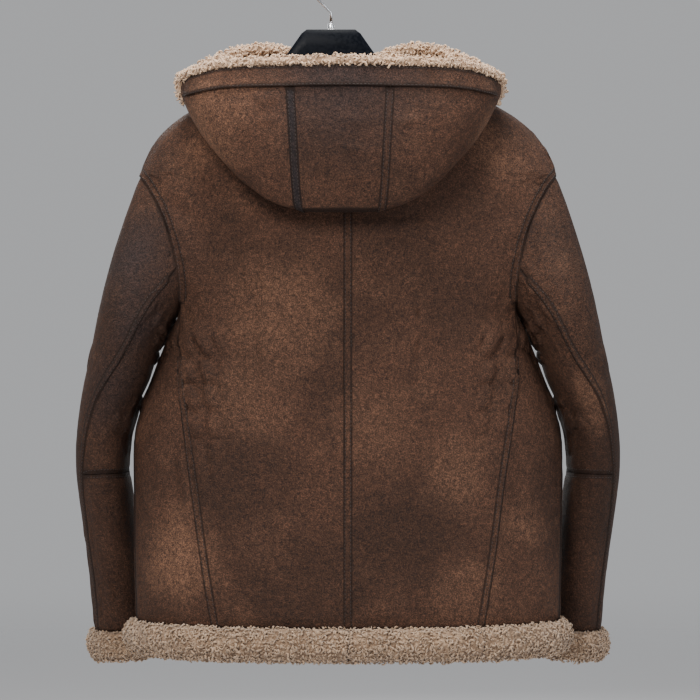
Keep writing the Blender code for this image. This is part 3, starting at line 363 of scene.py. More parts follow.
def modified(bm, kind, **settings):
    """The bmesh with one modifier applied, as a new bmesh."""
    mesh = bpy.data.meshes.new("rough")
    bm.to_mesh(mesh)
    bm.free()
    obj = bpy.data.objects.new("rough", mesh)
    bpy.context.scene.collection.objects.link(obj)
    modifier = obj.modifiers.new("finer", kind)
    for name, value in settings.items():
        setattr(modifier, name, value)
    graph = bpy.context.evaluated_depsgraph_get()
    mesh = bpy.data.meshes.new_from_object(obj.evaluated_get(graph))
    bm = bmesh.new()
    bm.from_mesh(mesh)
    bpy.data.meshes.remove(mesh)
    bpy.data.objects.remove(obj)
    return bm


def subdivided(bm, levels):
    """Catmull-Clark subdivision, as a new bmesh."""
    return modified(bm, "SUBSURF", levels=levels, render_levels=levels)


def coordinates(bm):
    bm.verts.ensure_lookup_table()
    bm.normal_update()
    points = np.array([v.co[:] for v in bm.verts])
    normals = np.array([v.normal[:] for v in bm.verts])
    return points, normals


def move(bm, points):
    for vert, point in zip(bm.verts, points):
        vert.co = point


def leather_mask(bm):
    """1 for each point that a face of the leather side touches, else 0."""
    mask = np.zeros(len(bm.verts))
    for face in bm.faces:
        if face.material_index == LEATHER:
            for vert in face.verts:
                mask[vert.index] = 1.0
    return mask


def store(bm, name, values):
    layer = bm.verts.layers.float.new(name)
    for vert, value in zip(bm.verts, values):
        vert[layer] = value


def nearest(points, targets):
    """Distance from each point to the nearest target."""
    tree = BVHTree.FromPolygons([tuple(t) for t in targets],
                                [(i, i + 1, i) for i in range(0, len(targets) - 1, 2)])
    return np.array([tree.find_nearest(Vector(p))[3] for p in points])


def piece(name, bm, materials):
    """Finish a bmesh as one object of the model."""
    mesh = bpy.data.meshes.new(name)
    bm.to_mesh(mesh)
    bm.free()
    mesh.shade_smooth()
    for material in materials:
        mesh.materials.append(material)
    obj = bpy.data.objects.new(name, mesh)
    bpy.context.scene.collection.objects.link(obj)
    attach(obj, "root")
    return obj


# ---------------------------------------------------------------- leather panels
def rim_lines(bm):
    """End points of the edges between leather side and rim, two by two."""
    ends = []
    for edge in bm.edges:
        kinds = {face.material_index for face in edge.link_faces}
        if kinds == {LEATHER, RIM}:
            ends += [edge.verts[0].co[:], edge.verts[1].co[:]]
    return np.array(ends)


def fold_height(points):
    """Height of the folds above the plain surface, for points on the back."""
    flat = on_plane(points)
    height = np.zeros(len(points))
    for pixels, width, rise in FOLDS:
        line = np.array([from_pixel(*p) for p in pixels])
        wobble = 0.25 * width * rough(points, 0.03, 5)
        distance, at = to_line(flat, line)
        fade = np.sin(np.pi * np.clip(at, 0.0, 1.0)) ** 0.6 * (distance < 4 * width)
        height += rise * fade * falloff(distance + wobble, width)
    return height * np.clip(points[:, 1] / 0.03, 0.0, 1.0)


def soft_shape(points, seam):
    """How far the leather stands off the plain surface."""
    puff = PUFF - SEAM_DIP * falloff(seam, SEAM_REACH)
    slow = 0.0018 * rough(points * [1, 1, 0.6], 0.085, 11) + 0.0010 * rough(points * [1, 1, 0.7], 0.038, 12)
    small = 0.00040 * rough(points, 0.014, 13)
    calm = 1.0 - 0.75 * falloff(seam, SEAM_REACH)
    return puff + calm * (FOLD_STRENGTH * fold_height(points) + slow + small)


def evened(bm, values, times):
    """Values at a mesh's points, averaged with their neighbours' a number of times."""
    ends = np.array([[v.index for v in e.verts] for e in bm.edges])
    number = 1.0 + np.bincount(ends.ravel(), minlength=len(values))
    for _ in range(times):
        total = values.copy()
        np.add.at(total, ends[:, 0], values[ends[:, 1]])
        np.add.at(total, ends[:, 1], values[ends[:, 0]])
        values = (total.T / number).T
    return values


def underarm_fullness(bm, points, normals, sleeve):
    """The spare leather below the armhole, where body and sleeve bulge towards each other."""
    outward = np.sign(points[:, 0] - CAMERA_AT[0]) * normals[:, 0]
    facing = np.clip((-outward if sleeve else outward) * 1.4 - 0.4, 0.0, 1.0)
    level = falloff(points[:, 2] - UNDERARM_Z[0], UNDERARM_Z[1])
    return UNDERARM_FULLNESS * evened(bm, facing, UNDERARM_EVENING) * level


def neighbours():
    """A search tree over every CAD node apart from the strips, which are laid on afterwards."""
    points, faces, count = [], [], 0
    for name, obj in frame["nodes"].items():
        if name in STRIPS:
            continue
        mesh = obj.data
        points += [v.co[:] for v in mesh.vertices]
        faces += [[v + count for v in f.vertices] for f in mesh.polygons]
        count = len(points)
    return BVHTree.FromPolygons(points, faces)


def room(points, normals, outside, tree):
    """How far each point can move outwards and still leave most of the gap to what lies there."""
    free = np.full(len(points), 1.0)
    for i in np.flatnonzero(outside):
        normal = Vector(normals[i])
        _, _, _, distance = tree.ray_cast(Vector(points[i]) + normal * 0.0003, normal, GAP_REACH)
        if distance is not None:
            free[i] = ROOM_SHARE * distance
    return free


def run_points(runs):
    """End points of the pieces of runs, two by two."""
    return np.array([p for run in runs for a, b in zip(run, run[1:]) for p in (a[0], b[0])])


def closed_flush(run):
    """Whether a run is a shoulder seam, which is pressed flat and shows no line."""
    spots = np.array([p for p, _ in run])
    across = np.ptp(spots[:, 0])
    outermost = np.abs(spots[:, 0] - CAMERA_AT[0]).max()
    return spots[:, 2].min() > SHOULDER_Z and across > SHOULDER_WIDTH and outermost > SHOULDER_OUT


def leather_panel(node, name, materials):
    part, sleeve = node.rsplit("_", 1)[0], "sleeve" in node
    bm = wall(node)
    runs = border_runs(bm)
    lines = [run for run in runs if not closed_flush(run)]
    twin = TWIN_STITCHED.get(part)
    twin_run = max(runs, key=lambda run: twin(np.mean([p for p, _ in run], axis=0))) if twin else None
    bm = subdivided(bm, 1 if (part == "front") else 2)
    leather = [f for f in bm.faces if f.material_index == LEATHER]
    edges = list(dict.fromkeys(e for f in leather for e in f.edges))
    bmesh.ops.subdivide_edges(bm, edges=edges, cuts=1, use_grid_fill=True)
    points, normals = coordinates(bm)
    seam = nearest(points, run_points(lines))
    outside = leather_mask(bm)
    height = soft_shape(points, seam) + underarm_fullness(bm, points, normals, sleeve)
    if twin_run:
        row = np.abs(nearest(points, run_points([twin_run])) - TWIN_INSET)
        height -= 0.0005 * falloff(row, 0.0010)
        seam = np.minimum(seam, row + 0.0006)
    excess = np.clip(height - room(points, normals, outside, NEIGHBOURS[0]), 0.0, None)
    height -= np.maximum(excess, evened(bm, excess, EXCESS_EVENING))
    move(bm, points + normals * (outside * height)[:, None])
    if twin_run:
        bm.normal_update()
        stitch_row(twin_run, TWIN_INSET, BVHTree.FromBMesh(bm))
    store(bm, "seam", np.where(outside > 0, seam, 0.0))
    store(bm, "outside", outside)
    for face in bm.faces:
        face.material_index = WOOL if face.material_index == WOOL else LEATHER
    obj = piece(name, bm, materials)
    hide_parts(node)
    return obj


# ---------------------------------------------------------------- strips and stitches
def border_runs(bm):
    """The border of a wall's leather side, cut at its corners.

    Each run is a list of points and, for each point, the direction from the border into the wall.
    Sets of bmesh elements have no fixed order, so what is gone through here is lists and dicts.
    """
    layer = bm.edges.layers.float["crease_edge"]
    border = [e for e in bm.edges if {f.material_index for f in e.link_faces} == {LEATHER, RIM}]
    inward, ends = {}, {}
    for edge in border:
        face = next(f for f in edge.link_faces if f.material_index == LEATHER)
        a, b = edge.verts
        along = (b.co - a.co).normalized()
        aim = face.calc_center_median() - a.co
        aim = (aim - along * aim.dot(along)).normalized()
        for vert, other in ((a, b), (b, a)):
            inward[vert] = inward.get(vert, Vector()) + aim
            ends.setdefault(vert, []).append(other)
    corners = dict.fromkeys(v for v in ends if sum(e[layer] > 0 for e in v.link_edges) > 2)
    runs, used = [], set()
    for corner in corners:
        for step in ends[corner]:
            if (corner, step) in used:
                continue
            chain = [corner, step]
            while chain[-1] not in corners:
                onward = [v for v in ends[chain[-1]] if v is not chain[-2]]
                chain.append(onward[0])
            used.update({(chain[0], chain[1]), (chain[-1], chain[-2])})
            runs.append([(np.array(v.co), np.array(inward[v].normalized())) for v in chain])
    return sorted(runs, key=lambda run: -run_length(run))


def run_length(run):
    return sum(np.linalg.norm(b[0] - a[0]) for a, b in zip(run, run[1:]))


def smooth_path(points, step):
    """A Catmull-Rom curve through points, read every step metres."""
    p = np.array([2 * points[0] - points[1], *points, 2 * points[-1] - points[-2]])
    fine = []
    for i in range(1, len(p) - 2):
        t = np.linspace(0.0, 1.0, 12, endpoint=False)[:, None]
        fine.append(0.5 * (2 * p[i] + (p[i + 1] - p[i - 1]) * t
                           + (2 * p[i - 1] - 5 * p[i] + 4 * p[i + 1] - p[i + 2]) * t ** 2
                           + (3 * p[i] - p[i - 1] - 3 * p[i + 1] + p[i + 2]) * t ** 3))
    fine = np.concatenate(fine + [p[-2:-1]])
    lengths = np.concatenate([[0.0], np.cumsum(np.linalg.norm(np.diff(fine, axis=0), axis=1))])
    places = np.arange(0.0, lengths[-1], step)
    return np.stack([np.interp(places, lengths, fine[:, k]) for k in range(3)], axis=1)


def shape_of(bm):
    """A small bmesh as an array of points and a list of faces, and the bmesh freed."""
    bm.verts.index_update()
    points = np.array([v.co[:] for v in bm.verts])
    faces = [[v.index for v in f.verts] for f in bm.faces]
    bm.free()
    return points, faces


def repeated(shape, turns, places):
    """Many copies of a small shape, turned and placed, as one bmesh."""
    points, faces = shape
    copies = np.einsum("nij,pj->npi", np.array(turns), points) + np.array(places)[:, None, :]
    mesh = bpy.data.meshes.new("repeated")
    mesh.from_pydata(copies.reshape(-1, 3).tolist(), [],
                     [[v + n * len(points) for v in face] for n in range(len(copies)) for face in faces])
    bm = bmesh.new()
    bm.from_mesh(mesh)
    bpy.data.meshes.remove(mesh)
    return bm


def stitch_shape():
    bm = bmesh.new()
    bmesh.ops.create_uvsphere(bm, u_segments=5, v_segments=3, radius=1.0)
    return shape_of(bm)


def stitch_row(run, inset_by, tree):
    """Add to STITCHES the turns and places of a row along a run, on the surface that tree holds."""
    path = smooth_path([point + aim * inset_by for point, aim in run], PATH_STEP)
    count = int((len(path) * PATH_STEP - 2 * STITCH_SKIP) / STITCH_PITCH)
    for i in range(count):
        first = int((STITCH_SKIP + i * STITCH_PITCH) / PATH_STEP)
        last = min(first + int(STITCH_LENGTH / PATH_STEP), len(path) - 1)
        a, normal, _, _ = tree.find_nearest(Vector(path[first]))
        b, _, _, _ = tree.find_nearest(Vector(path[last]))
        along = (b - a) / 2
        across = along.cross(normal).normalized() * STITCH_RADIUS
        up = across.cross(along).normalized() * STITCH_RADIUS
        STITCHES.append((Matrix((across, up, along)).transposed(), (a + b) / 2))


def outer_leather():
    """A search tree over the outer side of every leather panel."""
    points, faces, count = [], [], 0
    for obj in bpy.data.objects:
        if obj.type != "MESH" or "outside" not in obj.data.attributes:
            continue
        mesh = obj.data
        place = np.empty(len(mesh.vertices) * 3, np.float32)
        mesh.vertices.foreach_get("co", place)
        outside = np.empty(len(mesh.vertices), np.float32)
        mesh.attributes["outside"].data.foreach_get("value", outside)
        mesh.calc_loop_triangles()
        corners = np.empty(len(mesh.loop_triangles) * 3, np.int32)
        mesh.loop_triangles.foreach_get("vertices", corners)
        corners = corners.reshape(-1, 3)
        corners = corners[outside[corners].min(axis=1) > 0.5]
        points.append(place.reshape(-1, 3))
        faces.append(corners + count)
        count += len(mesh.vertices)
    return BVHTree.FromPolygons(np.concatenate(points).tolist(), np.concatenate(faces).tolist())


def hugging(bm, points, top, tree):
    """Points lowered or raised along the leather's normal, so that a strip lies on it."""
    shift = np.zeros((len(points), 3))
    for i, point in enumerate(points):
        spot, normal, _, distance = tree.find_nearest(Vector(point))
        if distance < HUG_REACH:
            height = (Vector(point) - spot).dot(normal)
            shift[i] = normal * ((STRIP_OVER if top[i] else -STRIP_UNDER) - height)
    return points + evened(bm, shift, HUG_EVENING)


def strip(node_name, name, materials, tree=None):
    """A lapped strip in place of its CAD node, stitched along its long edges."""
    bm = wall(node_name)
    runs = border_runs(bm)[:2]
    bm = subdivided(bm, 2 if (not tree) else 3)
    points, _ = coordinates(bm)
    top = leather_mask(bm)
    if tree:
        move(bm, hugging(bm, points, top, tree))
    elif node_name == "hood_binding":
        middle = (points[:, 0].min() + points[:, 0].max()) / 2
        past = np.abs(points[:, 0] - middle) - BINDING_CORNER
        points[:, 0] -= np.sign(points[:, 0] - middle) * BINDING_TURN * np.clip(past, 0.0, None)
        move(bm, points)
    points, normals = coordinates(bm)
    ends = rim_lines(bm)
    edge = nearest(points, ends)
    dent = -0.0004 * falloff(edge - STITCH_INSET, 0.0008) - 0.0003 * falloff(edge, 0.0006)
    move(bm, points + normals * (top * (dent + 0.0002 * rough(points, 0.005, 41)))[:, None])
    store(bm, "seam", np.minimum(np.abs(edge - STITCH_INSET), edge))
    bm.normal_update()
    surface = BVHTree.FromBMesh(bm)
    for run in runs:
        stitch_row(run, STITCH_INSET, surface)
    for face in bm.faces:
        face.material_index = LEATHER
    obj = piece(name, bm, materials)
    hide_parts(node_name)
    return obj


# ---------------------------------------------------------------- wool
def curls(points, seed):
    """Height from 0 to 1 of the wool's curls over points."""
    bent = points + 0.0016 * np.stack([rough(points, 0.004, seed + k) for k in (20, 21, 22)], axis=1)
    first, second = cells(bent, CURL, seed)
    lump = np.clip(second - first, 0.0, 0.5) / 0.5
    strand = 0.5 + 0.5 * np.sin(first * 9.0 + 3.0 * rough(points, 0.009, seed + 30))
    clump = 0.5 + 0.5 * rough(points, 0.017, seed + 31)
    return 0.50 * lump ** 0.6 + 0.20 * strand * lump + 0.30 * clump


def lock_shape():
    """One curled lock of wool: a tapered tube spun three quarters of a turn and rising."""
    bm = bmesh.new()
    stand = Matrix.Translation((LOCK_RADIUS, 0, 0)) @ Matrix.Rotation(math.pi / 2, 4, "X")
    ring = bmesh.ops.create_circle(bm, segments=3, radius=LOCK_THICK, matrix=stand)
    edges = list(dict.fromkeys(e for v in ring["verts"] for e in v.link_edges))
    bmesh.ops.spin(bm, geom=ring["verts"] + edges, cent=(0, 0, 0), axis=(0, 0, 1), angle=LOCK_TURN,
                   steps=4, use_merge=False)
    bmesh.ops.holes_fill(bm, edges=bm.edges, sides=4)
    bmesh.ops.recalc_face_normals(bm, faces=bm.faces)
    for vert in bm.verts:
        turn = math.atan2(vert.co.y, vert.co.x) % (2 * math.pi)
        middle = Vector((math.cos(turn), math.sin(turn), 0)) * LOCK_RADIUS
        share = turn / LOCK_TURN if turn < math.radians(300) else 0.0
        vert.co = middle + (vert.co - middle) * (0.55 + 0.75 * math.sin(math.pi * min(share, 1.0)))
        vert.co.z += LOCK_RISE * share
    return shape_of(bm)


def locks(points, normals, seed, spacing, size):
    """Locks of wool scattered over points, as one bmesh with a pile attribute."""
    shape = lock_shape()
    chosen = {}
    for i, key in enumerate(map(tuple, np.floor(points / spacing).astype(int).tolist())):
        chosen.setdefault(key, i)
    chosen = np.array(sorted(chosen.values()))
    chance = [0.5 + 0.5 * lattice(chosen, chosen * 0 + k, chosen * 0, seed) for k in range(6)]
    turns = []
    for n, i in enumerate(chosen):
        stand = Vector(normals[i]).to_track_quat("Z", "Y").to_matrix()
        stand = stand @ Matrix.Rotation(2 * math.pi * chance[2][n], 3, "Z")
        lean = Matrix.Rotation(math.radians(25 + 65 * chance[1][n]), 3, "X")
        spin = Matrix.Rotation(2 * math.pi * chance[0][n], 3, "Z")
        turns.append(stand @ lean @ spin * (size * (0.75 + 0.6 * chance[3][n])))
    places = points[chosen] + normals[chosen] * (0.0012 * chance[4] - 0.0004)[:, None]
    bm = repeated(shape, turns, places)
    store(bm, "pile", np.repeat(0.55 + 0.45 * chance[5], len(shape[0])))
    return bm


def corner_puffs(bm):
    """Add the wool that rolls out at the hood's two corners; the remesh joins it on."""
    points, _ = coordinates(bm)
    middle = (points[:, 0].min() + points[:, 0].max()) / 2
    for side in (-1, 1):
        reach = np.abs(points[:, 0] - middle).max()
        for x, y, z, size in CORNER_PUFFS:
            place = Matrix.Translation((middle + side * (reach + x), y, z)) @ Matrix.Diagonal((*size, 1.0))
            bmesh.ops.create_icosphere(bm, subdivisions=3, radius=1.0, matrix=place)


def lining_locks(obj, name, material):
    """Locks of wool over the lining side of a leather panel."""
    mesh = obj.data
    verts = sorted({v for f in mesh.polygons if f.material_index == WOOL for v in f.vertices})
    points = np.array([mesh.vertices[v].co[:] for v in verts])
    normals = np.array([mesh.vertices[v].normal[:] for v in verts])
    above_fold = points[:, 2] > points[:, 2].min() + FOLD_CLEAR
    points, normals = points[above_fold], normals[above_fold]
    return piece(name, locks(points, normals, LINING_SEED, LINING_SPACING, LINING_SIZE), [material])


def seen(points, normals, node_name):
    """Which points get a lock: none under leather, and few on the side that faces into the jacket."""
    keep = np.ones(len(points), bool)
    tree = NEIGHBOURS[0]
    for i, (point, normal) in enumerate(zip(points, normals)):
        start = Vector(point) + Vector(normal) * COVER[0]
        keep[i] = tree.ray_cast(start, Vector(normal), COVER[1])[0] is None
    if node_name != "hood_wool_edge":
        axis = points.mean(axis=0) if "cuff" in node_name else np.array([CAMERA_AT[0], 0.0, 0.0])
        outward = points[:, :2] - axis[:2]
        outward /= np.linalg.norm(outward, axis=1)[:, None]
        inner = (outward * normals[:, :2]).sum(axis=1) < -0.3
        rank = np.arange(len(points))
        keep &= ~inner | (lattice(rank, rank * 0, rank * 0, THINNING_SEED) > 0.2)
    return keep


def wool_piece(node, name, material):
    """A wool edge in place of its CAD node: a curled base, and the locks on it."""
    bm = welded(node)
    crease_sharp(bm)
    bm = subdivided(bm, 2)
    if node == "hood_wool_edge":
        corner_puffs(bm)
    bm = modified(bm, "REMESH", mode="VOXEL", voxel_size=WOOL_VOXEL * 1)
    points, normals = coordinates(bm)
    pile = curls(points, CURL_SEED)
    raised = points + normals * ((pile - 0.55) * CURL_HEIGHT)[:, None]
    move(bm, raised)
    # the curls' height, which the wool material turns into painted shade in the hollows between curls
    store(bm, "pile", 0.8 * pile)
    obj = piece(name, bm, [material])
    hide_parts(node)
    keep = seen(raised, normals, node)
    wool = locks(raised[keep], normals[keep], LOCK_SEED, LOCK_SPACING, LOCK_SIZE)
    return piece(name + "_locks", wool, [material])


# ---------------------------------------------------------------- hard parts
def finer(node_name, name, material, rounding):
    """A hard part in place of its CAD node, its flat faces merged and, given a rounding, its sharp edges
    rounded.
    """
    bm = bmesh.new()
    bm.from_mesh(frame["nodes"][node_name].data)
    bmesh.ops.remove_doubles(bm, verts=bm.verts, dist=WELD)
    bmesh.ops.dissolve_limit(bm, angle_limit=math.radians(1.0), verts=bm.verts, edges=bm.edges)
    if rounding:
        sharp = [e for e in bm.edges if len(e.link_faces) == 2 and e.calc_face_angle(0.0) > BEVEL_FROM]
        bmesh.ops.bevel(bm, geom=sharp, offset=rounding, offset_type="OFFSET", segments=3, affect="EDGES",
                        profile=0.5, material=-1, clamp_overlap=True)
    obj = piece(name, bm, [material])
    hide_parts(node_name)
    return obj


# ---------------------------------------------------------------- materials
def new_material(name):
    material = bpy.data.materials.new(name)
    material.use_nodes = True
    tree = material.node_tree
    return material, tree, tree.nodes["Principled BSDF"]


def feed(tree, socket, value):
    """Link a socket to another, or set it to a number or a colour."""
    if isinstance(value, bpy.types.NodeSocket):
        tree.links.new(value, socket)
    else:
        socket.default_value = (*value, 1.0) if isinstance(value, tuple) else value


def node(tree, kind, **values):
    made = tree.nodes.new(kind)
    for key, value in values.items():
        if key.startswith("in_"):
            feed(tree, made.inputs[key[3:].replace("_", " ")], value)
        else:
            setattr(made, key, value)
    return made


def noise(tree, where, scale, detail=3.0, roughness=0.5, distortion=0.0):
    return node(tree, "ShaderNodeTexNoise", in_Vector=where, in_Scale=scale, in_Detail=detail,
                in_Roughness=roughness, in_Distortion=distortion).outputs["Fac"]


def maths(tree, operation, a, b=0.0, c=0.0):
    made = node(tree, "ShaderNodeMath", operation=operation)
    for socket, value in zip(made.inputs, (a, b, c)):
        feed(tree, socket, value)
    return made.outputs[0]


def span(tree, value, low, high, to_low=0.0, to_high=1.0):
    """A value's stretch from low to high, mapped to another and held there."""
    return node(tree, "ShaderNodeMapRange", interpolation_type="SMOOTHSTEP", in_Value=value, in_From_Min=low,
                in_From_Max=high, in_To_Min=to_low, in_To_Max=to_high).outputs["Result"]


def blend_colours(tree, share, a, b, mode="MIX"):
    made = node(tree, "ShaderNodeMix", data_type="RGBA", blend_type=mode)
    for socket, value in ((made.inputs[0], share), (made.inputs[6], a), (made.inputs[7], b)):
        feed(tree, socket, value)
    return made.outputs[2]


def bumped(tree, shader, height, strength, distance):
    bump = node(tree, "ShaderNodeBump", in_Strength=strength, in_Distance=distance, in_Height=height)
    tree.links.new(bump.outputs["Normal"], shader.inputs["Normal"])


def new_group(name, inputs, outputs):
    """An empty node group, with its input sockets to read and its output sockets to feed."""
    tree = bpy.data.node_groups.new(name, "ShaderNodeTree")
    for direction, sockets in (("INPUT", inputs), ("OUTPUT", outputs)):
        for label, kind in sockets.items():
            tree.interface.new_socket(label, in_out=direction, socket_type="NodeSocket" + kind)
    return tree, tree.nodes.new("NodeGroupInput").outputs, tree.nodes.new("NodeGroupOutput").inputs


def placed_group(tree, build, **values):
    """A node that holds a group, which is built the first time.  Its values are given by name."""
    group = bpy.data.node_groups.get(build.__name__) or build()
    return node(tree, "ShaderNodeGroup", node_tree=group, **values).outputs


def stained(tree, here, colour, stains_and_painted_light):
    """Lay soft blots over a colour: stains, painted shadow and painted highlight.  Each is a pixel's place on
    the back, a radius, and a tint.
    """
    for (x, y), radius, share, tint in stains_and_painted_light:
        px, pz = from_pixel(x, y)
        offset = node(tree, "ShaderNodeVectorMath", operation="DISTANCE")
        tree.links.new(here, offset.inputs[0])
        offset.inputs[1].default_value = (px, BACK_Y, pz)
        reach = radius * PIXEL
        inside = span(tree, offset.outputs["Value"], reach * 1.35, reach * 0.25, 0.0, share)
        colour = blend_colours(tree, inside, colour, tint)
    return colour


def wavering(tree, here, scale, amount):
    """Coordinates pushed about by noise, so that what is drawn on them gets ragged edges."""
    push = node(tree, "ShaderNodeTexNoise", in_Vector=here, in_Scale=scale, in_Detail=5.0, in_Roughness=0.65)
    centred = node(tree, "ShaderNodeVectorMath", operation="MULTIPLY_ADD")
    tree.links.new(push.outputs["Color"], centred.inputs[0])
    centred.inputs[1].default_value = (amount,) * 3
    centred.inputs[2].default_value = (-amount / 2,) * 3
    moved = node(tree, "ShaderNodeVectorMath", operation="ADD")
    tree.links.new(here, moved.inputs[0])
    tree.links.new(centred.outputs[0], moved.inputs[1])
    return moved.outputs[0]


def rubbed_grain():
    """Group: pale and dark flecks of a millimetre or two, ragged dark seam lines, and crinkles."""
    tree, given, result = new_group(
        "rubbed_grain",
        {"Vector": "Vector", "Color": "Color", "Dark": "Color", "Seam": "Float", "Line Width": "Float"},
        {"Color": "Color", "Roughness": "Float", "Height": "Float"})
    here, colour = given["Vector"], given["Color"]
    fleck = noise(tree, here, 680.0, 3.0, 0.75, 0.2)
    blotch = noise(tree, here, 210.0, 4.0, 0.7, 0.4)
    grain = maths(tree, "MULTIPLY_ADD", fleck, 0.66, maths(tree, "MULTIPLY", blotch, 0.34))
    pale = blend_colours(tree, 1.0, colour, (2.5, 2.4, 2.3), "MULTIPLY")
    deep = blend_colours(tree, 1.0, colour, (0.22, 0.22, 0.25), "MULTIPLY")
    colour = blend_colours(tree, span(tree, grain, 0.505, 0.60, 0.0, 0.80), colour, pale)
    colour = blend_colours(tree, span(tree, grain, 0.495, 0.40, 0.0, 0.90), colour, deep)
    ragged = maths(tree, "MULTIPLY_ADD", noise(tree, here, 90.0), -0.0022, given["Seam"])
    line = span(tree, ragged, -0.0010, given["Line Width"], 0.85, 0.0)
    tree.links.new(blend_colours(tree, line, colour, given["Dark"]), result["Color"])
    tree.links.new(span(tree, grain, 0.38, 0.62, 0.62, 0.90), result["Roughness"])
    crinkle = node(tree, "ShaderNodeTexVoronoi", feature="DISTANCE_TO_EDGE", in_Scale=240.0,
                   in_Vector=wavering(tree, here, 160.0, 0.004))
    cracks = span(tree, crinkle.outputs["Distance"], 0.0, 0.22)
    height = maths(tree, "MULTIPLY_ADD", cracks, 0.35, maths(tree, "MULTIPLY", grain, 1.9))
    soft = noise(tree, here, 70.0, 4.0, 0.6, 0.5)
    tree.links.new(maths(tree, "MULTIPLY_ADD", soft, 1.8, height), result["Height"])
    return tree


def leather_material(name, dark, mid, tan, stains_and_painted_light=(), line_width=PANEL_LINE):
    material, tree, shader = new_material(name)
    here = node(tree, "ShaderNodeTexCoord").outputs["Object"]
    patches = noise(tree, here, 7.0, 4.0, 0.55, 0.6)
    stain = noise(tree, here, 22.0, 5.0, 0.62, 0.4)
    colour = blend_colours(tree, span(tree, patches, 0.36, 0.60, 0.40, 0.0), mid, dark)
    colour = blend_colours(tree, span(tree, stain, 0.46, 0.74, 0.0, 0.32), colour, tan)
    # placed blots: stains, with painted shadow under the hood's edges and painted highlights on the shoulders
    if stains_and_painted_light:
        colour = stained(tree, wavering(tree, here, 14.0, 0.075), colour, stains_and_painted_light)
    seam = node(tree, "ShaderNodeAttribute", attribute_name="seam").outputs["Fac"]
    grain = placed_group(tree, rubbed_grain, in_Vector=here, in_Color=colour, in_Dark=dark, in_Seam=seam,
                         in_Line_Width=line_width)
    tree.links.new(grain["Color"], shader.inputs["Base Color"])
    tree.links.new(grain["Roughness"], shader.inputs["Roughness"])
    bumped(tree, shader, grain["Height"], 0.9, 0.0013)
    shader.inputs["Specular IOR Level"].default_value = 0.18
    return material


def wool_fibre():
    """Group: wool that is pale on its tips and deep between them, with fine fibres. The deep colour in the
    hollows between curls is painted shade.
    """
    tree, given, result = new_group(
        "wool_fibre",
        {"Vector": "Vector", "Pile": "Float", "Pale": "Color", "Deep": "Color", "Pile Height": "Float"},
        {"Color": "Color", "Height": "Float"})
    fibre = noise(tree, given["Vector"], 900.0, 4.0, 0.7, 1.2)
    tone = noise(tree, given["Vector"], 45.0, 3.0, 0.6)
    pale, deep = given["Pale"], given["Deep"]
    colour = blend_colours(tree, span(tree, given["Pile"], 0.18, 0.75), deep, pale)
    colour = blend_colours(tree, span(tree, tone, 0.35, 0.65, 0.0, 0.35), colour, deep)
    colour = blend_colours(tree, span(tree, fibre, 0.40, 0.64, 0.0, 0.30), colour, pale)
    tree.links.new(colour, result["Color"])
    raised = maths(tree, "MULTIPLY", given["Pile"], given["Pile Height"])
    tree.links.new(maths(tree, "ADD", maths(tree, "MULTIPLY", fibre, 0.6), raised), result["Height"])
    return tree


def wool_material(name, pale, deep, use_pile=True):
    """Wool whose curls are the mesh's pile attribute, or else drawn by the material."""
    material, tree, shader = new_material(name)
    where = node(tree, "ShaderNodeTexCoord").outputs["Object"]
    # where the pile follows the curls' height, its deep colour is painted shade in the hollows; on the locks
    # the pile is a random tone per lock
    if use_pile:
        pile = node(tree, "ShaderNodeAttribute", attribute_name="pile").outputs["Fac"]
    else:
        curl = node(tree, "ShaderNodeTexVoronoi", feature="F1", in_Scale=1 / CURL, in_Vector=where)
        pile = span(tree, curl.outputs["Distance"], 0.75, 0.05)
    fibre = placed_group(tree, wool_fibre, in_Vector=where, in_Pile=pile, in_Pale=pale, in_Deep=deep,
                         in_Pile_Height=0.0 if use_pile else 2.5)
    tree.links.new(fibre["Color"], shader.inputs["Base Color"])
    shader.inputs["Roughness"].default_value = 0.95
    shader.inputs["Specular IOR Level"].default_value = 0.15
    shader.inputs["Sheen Weight"].default_value = 0.35
    shader.inputs["Sheen Roughness"].default_value = 0.6
    bumped(tree, shader, fibre["Height"], 0.8, 0.0012)
    return material


def mottle():
    """Group: a plain surface whose colour and roughness vary a little."""
    tree, given, result = new_group(
        "mottle",
        {"Vector": "Vector", "Scale": "Float", "Color": "Color", "Lighter": "Color", "Smooth": "Float",
         "Rough": "Float"},
        {"Color": "Color", "Roughness": "Float", "Height": "Float"})
    tone = noise(tree, given["Vector"], given["Scale"], 3.0, 0.6)
    colour = blend_colours(tree, span(tree, tone, 0.35, 0.65), given["Color"], given["Lighter"])
    tree.links.new(colour, result["Color"])
    tree.links.new(span(tree, tone, 0.3, 0.7, given["Smooth"], given["Rough"]), result["Roughness"])
    tree.links.new(tone, result["Height"])
    return tree


def plain_material(name, colour, roughness, metallic=0.0, grain=0.0, scale=300.0):
    material, tree, shader = new_material(name)
    where = node(tree, "ShaderNodeTexCoord").outputs["Object"]
    lighter = tuple(min(1.0, c * 1.25 + 0.002) for c in colour)
    tone = placed_group(tree, mottle, in_Vector=where, in_Scale=scale, in_Color=colour, in_Lighter=lighter,
                        in_Smooth=roughness * 0.85, in_Rough=roughness * 1.15)
    tree.links.new(tone["Color"], shader.inputs["Base Color"])
    tree.links.new(tone["Roughness"], shader.inputs["Roughness"])
    shader.inputs["Metallic"].default_value = metallic
    if grain:
        bumped(tree, shader, tone["Height"], grain, 0.0004)
    return material


